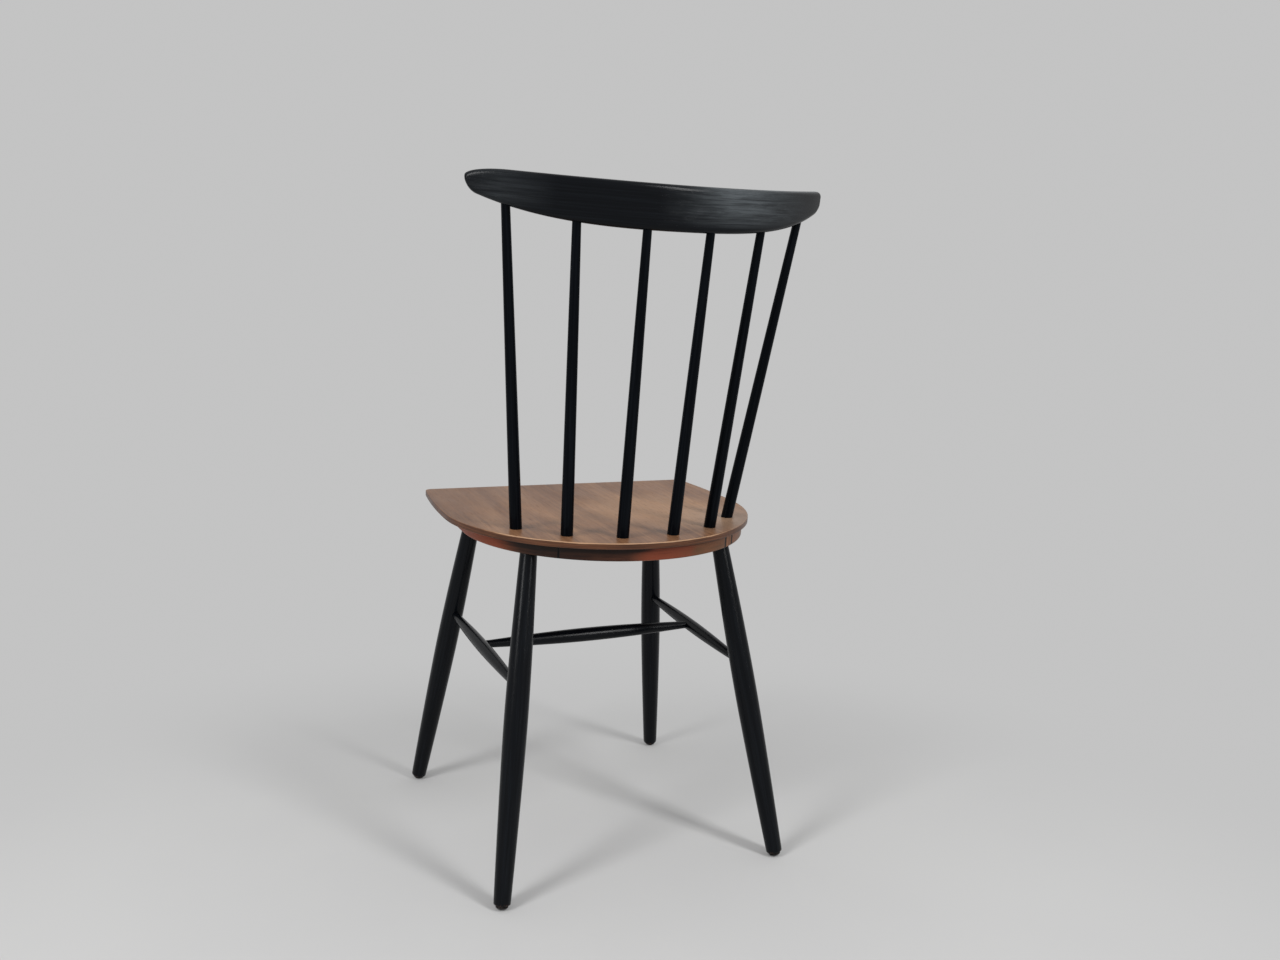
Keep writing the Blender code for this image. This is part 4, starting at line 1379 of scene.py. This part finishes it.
@dataclass(frozen=True)
class UnderFrame:
    """Four splayed legs on glides, two side stretchers and the cross stretcher between them."""

    shape: SeatShape = SeatShape()
    rim: Rim = Rim()
    leg: Leg = Leg()
    front_end_distance: float = 0.0565
    front_rake: float = math.radians(12.0)
    front_splay: float = math.radians(7.62)
    back_share: float = 0.5625
    back_edge_distance: float = 0.0343
    back_rake: float = math.radians(12.4)
    back_splay: float = math.radians(7.82)
    front_height: float = 0.262
    back_height: float = 0.247
    side_radius: float = 0.00825
    cross_radius: float = 0.0092
    cross_setback: float = 0.1327
    leg_depth: float = 0.014
    cross_depth: float = 0.0095
    rod_sides: int = 40

    def stations(self) -> dict[str, LegStation]:
        """Where the four legs start.

        Returns:
            The station of each leg by its name.
        """
        back_at = self.rim.rail_setback + self.rim.rail_depth / 2
        across = float(self.shape.side_reach(back_at, self.rim.rail_end_inset)) - self.front_end_distance
        found = {}
        for side, label in ((1, "left"), (-1, "right")):
            mouth = self.shape.frame @ Vector((across * side, back_at, self.rim.bottom))
            found["front_" + label] = LegStation("front_" + label, mouth, -self.front_rake, self.front_splay)
            walk = self.shape.back_walk * self.back_share * side
            points, outward = self.shape.stations(np.array([walk]))
            place = points[0] - outward[0] * self.back_edge_distance
            mouth = self.shape.frame @ Vector((place[0], place[1], self.rim.bottom))
            found["back_" + label] = LegStation("back_" + label, mouth, self.back_rake, self.back_splay)
        return found

    def build_leg(self, station: LegStation, seed: int, lathe: Lathe, finishes: Finishes) -> None:
        """Turns one leg and its glide.

        Args:
            station: Where the leg starts and how it leans.
            seed: Picks the place in the wood.
            lathe: Tree that turns them.
            finishes: The chair's finishes.
        """
        leg, glide = self.leg, self.leg.glide
        end, mouth, _ = leg.axis(station)
        matrix = along(end, mouth)
        lacquer, steel = finishes.materials[Slot.LACQUER], finishes.materials[Slot.STEEL]
        mesh = lathe.turn("turned leg", leg.profile((mouth - end).length), leg.sides, seed, lacquer)
        mesh.transform(matrix)
        finishes.dress("turned_leg_" + station.label, mesh, Slot.LACQUER, "leg_" + station.label)
        mesh = lathe.turn("glide", glide.profile(), glide.sides, seed + glide.seed_step, steel, ripple=0.0)
        mesh.transform(matrix)
        bm = bmesh.new()
        bm.from_mesh(mesh)
        bmesh.ops.bisect_plane(bm, geom=[*bm.verts, *bm.edges, *bm.faces], plane_co=(0, 0, 0),
                               plane_no=(0, 0, -1), clear_outer=True)
        bmesh.ops.holes_fill(bm, edges=bm.edges)
        bm.to_mesh(mesh)
        bm.free()
        mesh = faced_out(mesh, glide.crease)
        finishes.dress("stud_" + station.label, mesh, Slot.STEEL, "foot_glide_" + station.label)

    def build_stretcher(self, name: str, node: str, ends: list, belly: float, seed: int, lathe: Lathe,
                        finishes: Finishes) -> None:
        """Turns one stretcher.

        Args:
            name: Name of the piece.
            node: Solid that it stands for.
            ends: For each end, the axis point in its host, the host's radius and the depth buried.
            belly: Radius in the middle.
            seed: Picks the place in the wood.
            lathe: Tree that turns it.
            finishes: The chair's finishes.
        """
        (start, start_radius, start_depth), (end, end_radius, end_depth) = ends
        direction = (end - start).normalized()
        first = start + direction * (start_radius - start_depth)
        last = end - direction * (end_radius - end_depth)
        profile = Stretcher(belly).profile((last - first).length, start_depth, end_depth)
        mesh = lathe.turn(name, profile, self.rod_sides, seed, finishes.materials[Slot.LACQUER])
        mesh.transform(along(first, last))
        finishes.dress(name, mesh, Slot.LACQUER, node)

    def build(self, lathe: Lathe, finishes: Finishes) -> None:
        """Builds and dresses the legs, glides and stretchers, each with a seed of its own.

        Args:
            lathe: Tree that turns them.
            finishes: The chair's finishes.
        """
        stations = self.stations()
        for seed, station in enumerate(stations.values(), start=1):
            self.build_leg(station, seed, lathe, finishes)
        crossing = []
        for seed, label in enumerate(("left", "right"), start=len(stations) + 1):
            ends = []
            for place, height in (("front_", self.front_height), ("back_", self.back_height)):
                point, radius = self.leg.radius_at(stations[place + label], height)
                ends.append((point, radius, self.leg_depth))
            self.build_stretcher("rod_" + label, "side_stretcher_" + label, ends, self.side_radius, seed,
                                 lathe, finishes)
            run = (ends[1][0] - ends[0][0]).normalized()
            crossing.append((ends[0][0] + run * self.cross_setback, self.side_radius, self.cross_depth))
        self.build_stretcher("rod_cross", "cross_stretcher", crossing, self.cross_radius, seed + 1, lathe,
                             finishes)


# Back


@dataclass(frozen=True)
class CrestRail:
    """Plank bent to a parabola that leans back, a touch lower and worn away at its +X end."""

    setback: float = 0.3546
    bottom_height: float = 0.7782
    lean: float = math.radians(8.7)
    roll: float = math.radians(0.33)
    bend_radius: float = 0.2938
    half_length: float = 0.2403
    height: float = 0.0501
    thickness: float = 0.015
    end_rise: float = 0.0262
    rise_power: float = 3.15
    fall: tuple = (0.048, 0.0093)
    top_corner: float = 0.0045
    bottom_corner: float = 0.0135
    end_rounding: float = 0.0045
    edge_radius: float = 0.0060
    end_steps: int = 26
    run_steps: int = 74
    table_points: int = 601
    # Painted sheen patch as arcs towards the sitter's right with their levels, and where it and the
    # painted highlight line along the top start and end
    sheen_arcs: tuple = ((-0.24, 0.06), (-0.20, 0.22), (-0.14, 0.0), (-0.03, 0.0), (0.0, 0.14), (0.03, 0.55),
                       (0.055, 0.95), (0.095, 0.95), (0.13, 0.45), (0.19, 0.10), (0.215, 0.0), (0.235, 0.04))
    sheen_outward: tuple = (0.002, 0.006)
    sheen_height: tuple = (0.004, 0.024)
    highlight_drops: tuple = (0.0016, 0.0004)
    highlight_arcs: tuple = (0.0, 0.04)
    edge_drop: float = 0.003
    end_reach: float = 0.012

    @property
    def frame(self) -> Matrix:
        """Place of the rail's own frame in the chair's."""
        turn = Matrix.Rotation(-self.lean, 4, "X") @ Matrix.Rotation(self.roll, 4, "Y")
        return TO_ORIGIN @ Matrix.Translation((0, self.setback, self.bottom_height)) @ turn

    def lower_edge(self, arc: float) -> float:
        """Height of the lower edge over its lowest point, at an arc from the middle."""
        return self.end_rise * (abs(arc) / self.half_length) ** self.rise_power

    def point(self, arc: float, outward: float, height: float) -> tuple[float, float, float]:
        """Finds a place on the bend, a parabola.

        Args:
            arc: Arc from the middle, positive to +X.
            outward: Distance outward of the bend's middle line.
            height: Height over the lowest edge.

        Returns:
            The point in the rail's frame.
        """
        places = np.linspace(0, self.half_length, self.table_points)
        slopes = places / self.bend_radius
        walks = (places * np.hypot(1, slopes) + self.bend_radius * np.arcsinh(slopes)) / 2
        across = math.copysign(float(np.interp(abs(arc), walks, places)), arc)
        slope = across / self.bend_radius
        size = math.hypot(1, slope)
        return across + outward * slope / size, -across * slope / 2 + outward / size, height

    def section(self, arc: float) -> list[tuple[float, float]]:
        """Section of the rail, a rectangle with round corners.

        Args:
            arc: Arc from the middle, positive to +X.

        Returns:
            Points as (outward, height).
        """
        from_end = self.half_length - abs(arc)
        half = self.thickness / 2 - corner_loss(from_end, self.end_rounding, self.end_rounding)
        low = self.lower_edge(arc) + corner_loss(from_end, self.bottom_corner, self.bottom_corner)
        fall = self.fall if arc > 0 else (self.top_corner, self.top_corner)
        high = self.height - corner_loss(from_end, *fall)
        radius = min(self.edge_radius, half * 0.9, (high - low) * 0.45)
        return round_box(-half, half, low, high, radius)

    def build(self, finishes: Finishes) -> None:
        """Builds and dresses the rail.

        Args:
            finishes: The chair's finishes.
        """
        ends = self.half_length - self.bottom_corner * (1 - np.cos(np.linspace(0, QUARTER, self.end_steps)))
        run = np.linspace(self.half_length - self.bottom_corner, 0, self.run_steps + 1)[1:]
        arcs = np.concatenate([ends, run])
        arcs = np.concatenate([arcs, -arcs[-2::-1]])
        sections = np.array([self.section(arc) for arc in arcs])
        rings = np.array([[self.point(arc, *spot) for spot in section]
                          for arc, section in zip(arcs, sections)])
        outward, height = sections[:, :, 0], sections[:, :, 1]
        along_arc = np.broadcast_to(arcs[:, None], sections.shape[:2])
        grain = np.stack([outward, height, along_arc], 2)
        masks = self.masks(along_arc, outward, height)
        mesh = skin("crest rail", placed(rings, self.frame), masks, grain)
        finishes.dress("bent_crest", mesh, Slot.LACQUER, "crest_rail")

    def masks(self, arc: np.ndarray, outward: np.ndarray, height: np.ndarray) -> dict[str, np.ndarray]:
        """Painted sheen, a painted highlight line along the top, and worn edges of the rail.

        Args:
            arc: Arc of each point from the middle, positive to +X.
            outward: Distance of each point outward of the bend's middle line.
            height: Height of each point over the lowest edge.

        Returns:
            The number attributes.
        """
        # Painted sheen on the back face towards the sitter's right, and a painted highlight line along the
        # top edge; both go in the band mask
        behind = ease(outward, *self.sheen_outward)
        painted_sheen = behind * graded(-arc, self.sheen_arcs) * ease(height, *self.sheen_height)
        line = ease(height, *(self.height - drop for drop in self.highlight_drops)) * ease(-arc, *self.highlight_arcs)
        edge = ease(height, self.height - self.edge_drop, self.height) * (0.35 + 0.35 * behind)
        ends = ease(np.abs(arc), self.half_length - self.end_reach, self.half_length)
        return {EDGE_BAND_AND_PAINTED_SHEEN: np.clip(painted_sheen + 0.9 * line, 0, 1), WEAR: np.clip(0.45 * edge + 0.30 * ends, 0, 1)}


@dataclass(frozen=True)
class SpindleSet:
    """Six turned spindles, thickest at the seat, fanned out to the crest rail."""

    panel: SeatPanel = SeatPanel()
    rail: CrestRail = CrestRail()
    count: int = 6
    seat_radius: float = 0.0074
    rail_radius: float = 0.0050
    taper_power: float = 1.3
    edge_distance: float = 0.0289
    pitch_share: float = 0.2494
    rail_pitch: float = 0.0781
    panel_depth: float = 0.0056
    tenon_radius: float = 0.0048
    rim_depth: float = 0.013
    rail_depth: float = 0.020
    gap: float = 0.0003
    steps: int = 60
    sides: int = 32
    ripple: float = 0.00008
    foot_wear: tuple = (0.22, 0.02)
    seed_step: int = 7

    def profile(self, mouth: float, rail_mouth: float, length: float) -> np.ndarray:
        """Rows for the lathe.

        Args:
            mouth: Height at which the spindle comes out of the seat.
            rail_mouth: Height at which it enters the rail.
            length: Its whole length.

        Returns:
            (radius, height, wear) from the seat end up.
        """
        shoulder = mouth - self.panel_depth
        rows = [(self.tenon_radius, 0.0, 0.0), (self.tenon_radius, shoulder, 0.0),
                (self.seat_radius, shoulder, 0.0)]
        level, fade = self.foot_wear
        for share in np.linspace(0, 1, self.steps):
            swell = 1 - share ** self.taper_power
            radius = self.rail_radius + (self.seat_radius - self.rail_radius) * swell
            rows.append((radius, mouth + (rail_mouth - mouth) * share, level * math.exp(-share / fade)))
        rows.append((self.rail_radius, length, 0.0))
        return np.array(rows)

    def build(self, lathe: Lathe, finishes: Finishes) -> None:
        """Builds and dresses the spindles, from the sitter's right to the left.

        Args:
            lathe: Tree that turns them.
            finishes: The chair's finishes.
        """
        shape = self.panel.shape
        for number in range(1, self.count + 1):
            place = number - (self.count + 1) / 2
            points, outward = shape.stations(np.array([shape.back_walk * self.pitch_share * place]))
            spot = points[0] - outward[0] * self.edge_distance
            foot = shape.frame @ Vector((spot[0], spot[1], 0))
            arc = self.rail_pitch * place
            low = self.rail.lower_edge(arc)
            head = self.rail.frame @ Vector(self.rail.point(arc, 0, low + self.rail_depth / 2))
            direction = (head - foot).normalized()
            buried = self.panel.thickness + self.gap + self.rim_depth
            first, last = foot - direction * buried, head + direction * (self.rail_depth / 2)
            length = (last - first).length
            profile = self.profile(buried, length - self.rail_depth, length)
            mesh = lathe.turn("turned spindle", profile, self.sides, number + self.seed_step, finishes.slim,
                              self.ripple)
            mesh.transform(along(first, last))
            finishes.dress(f"turned_spindle_{number}", mesh, Slot.LACQUER, f"spindle_{number}",
                           finish=finishes.slim)


# Studio


@dataclass(frozen=True)
class Softbox:
    """Soft lamp with a straight-sided front."""

    place: tuple
    aim: tuple
    size: tuple
    power: float

    def build(self, name: str) -> None:
        """Hangs the lamp.

        Args:
            name: Name of the lamp.
        """
        lamp = bpy.data.lights.new(name, "AREA")
        lamp.shape = "RECTANGLE"
        lamp.size, lamp.size_y = self.size
        lamp.energy = self.power
        holder = in_scene(name, lamp)
        holder.location = self.place
        holder.rotation_euler = (Vector(self.aim) - Vector(self.place)).to_track_quat("-Z", "Y").to_euler()


@dataclass(frozen=True)
class Studio:
    """Camera, pale floor, soft lamps and pale surroundings."""

    camera_place: tuple = (0.56457, 1.34771, 0.7069)
    yaw: float = 0.43186
    pitch: float = 0.1599
    roll: float = 0.0351
    lens: float = 31.947
    sensor_width: float = 36.0
    far_clip: float = 200.0
    pale: float = 0.55
    floor_colour: float = 0.63
    floor_roughness: float = 0.9
    floor_shine: float = 0.1
    cloud_size: float = 2.2
    ambient: float = 0.47
    floor_reach: float = 40.0
    near_side: tuple = (0.15, 0.40, 0.0)
    fade: tuple = (0.50, 1.25)
    lamps: tuple = (
        ("softbox_right", Softbox((-1.20, 2.50, 2.25), (0.0, 0.0, 0.40), (0.55, 2.6), 54.0)),
        ("softbox_left", Softbox((2.45, 1.05, 1.90), (0.0, 0.0, 0.40), (0.7, 2.2), 45.0)),
    )

    def camera(self) -> None:
        """Sets up the camera at the photograph's viewpoint."""
        level = math.cos(self.pitch)
        forward = Vector((-math.sin(self.yaw) * level, -math.cos(self.yaw) * level, -math.sin(self.pitch)))
        right = Vector((-math.cos(self.yaw), math.sin(self.yaw), 0.0))
        up = right.cross(forward)
        across = right * math.cos(self.roll) + up * math.sin(self.roll)
        upward = up * math.cos(self.roll) - right * math.sin(self.roll)
        turn = Matrix((across, upward, -forward)).transposed().to_4x4()
        lens = bpy.data.cameras.new("camera")
        lens.sensor_fit = "HORIZONTAL"
        lens.sensor_width = self.sensor_width
        lens.lens = self.lens
        lens.clip_end = self.far_clip
        holder = in_scene("camera", lens)
        holder.matrix_world = Matrix.Translation(self.camera_place) @ turn
        bpy.context.scene.camera = holder

    def floor(self) -> None:
        """Lays the pale floor, which fades into the surroundings far from the chair."""
        reach = self.floor_reach
        mesh = bpy.data.meshes.new("floor")
        corners = [(-reach, -reach, 0), (reach, -reach, 0), (reach, reach, 0), (-reach, reach, 0)]
        mesh.from_pydata(corners, [], [(0, 1, 2, 3)])
        recipe = Recipe("pale floor")
        place = recipe.node("ShaderNodeTexCoord", output="Object")
        away = recipe.node("ShaderNodeVectorMath", {"operation": "SUBTRACT"}, {0: place, 1: self.near_side})
        length = recipe.node("ShaderNodeVectorMath", {"operation": "LENGTH"}, {0: away}, "Value")
        tone = recipe.node("ShaderNodeTexNoise", {},
                           {"Vector": place, "Scale": self.cloud_size, "Detail": 4.0})
        level = self.floor_colour
        colour = recipe.mix(tone.smooth(0.3, 0.7), (level * 0.97,) * 3, (level, level, level * 0.995))
        relief = recipe.bump(tone, depth=0.001, strength=0.1)
        mesh.materials.append(recipe.finish(colour, self.floor_roughness, relief, self.floor_shine))
        glow = recipe.node("ShaderNodeEmission", {}, {"Color": (self.pale,) * 3, "Strength": 1.0})
        far = length.smooth(*self.fade) * recipe.seen()
        body = Value(recipe, recipe.shader.outputs["BSDF"])
        both = recipe.node("ShaderNodeMixShader", {}, {0: far, 1: body, 2: glow})
        recipe.feed(recipe.tree.nodes["Material Output"].inputs["Surface"], both)
        in_scene("floor", mesh)

    def surroundings(self) -> None:
        """Soft light from all round, and the pale colour that the camera and gloss see."""
        world = bpy.data.worlds.new("surroundings")
        world.use_nodes = True
        graph = Graph(world.node_tree)
        graph.tree.nodes.clear()
        light, shown = (graph.node("ShaderNodeBackground", {}, {"Color": WHITE, "Strength": strength})
                        for strength in (self.ambient, self.pale))
        mixed = graph.node("ShaderNodeMixShader", {}, {0: graph.seen(), 1: light, 2: shown})
        graph.add("ShaderNodeOutputWorld", {}, {"Surface": mixed})
        bpy.context.scene.world = world

    def build(self) -> None:
        """Sets up the whole studio."""
        self.camera()
        self.floor()
        self.surroundings()
        for name, lamp in self.lamps:
            lamp.build(name)
        bpy.context.scene.view_settings.view_transform = "Standard"


def main() -> None:
    """Builds the studio and the chair, and logs how many solids the frame has."""
    logging.basicConfig(level=logging.INFO, format="%(name)s: %(message)s")
    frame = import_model()
    LOG.info("frame has %d solids", len(frame["nodes"]))
    Studio().build()
    finishes = Finishes()
    lathe = Lathe()
    SeatPanel().build(finishes)
    Rim().build(finishes)
    UnderFrame().build(lathe, finishes)
    CrestRail().build(finishes)
    SpindleSet().build(lathe, finishes)


if __name__ == "__main__":
    main()
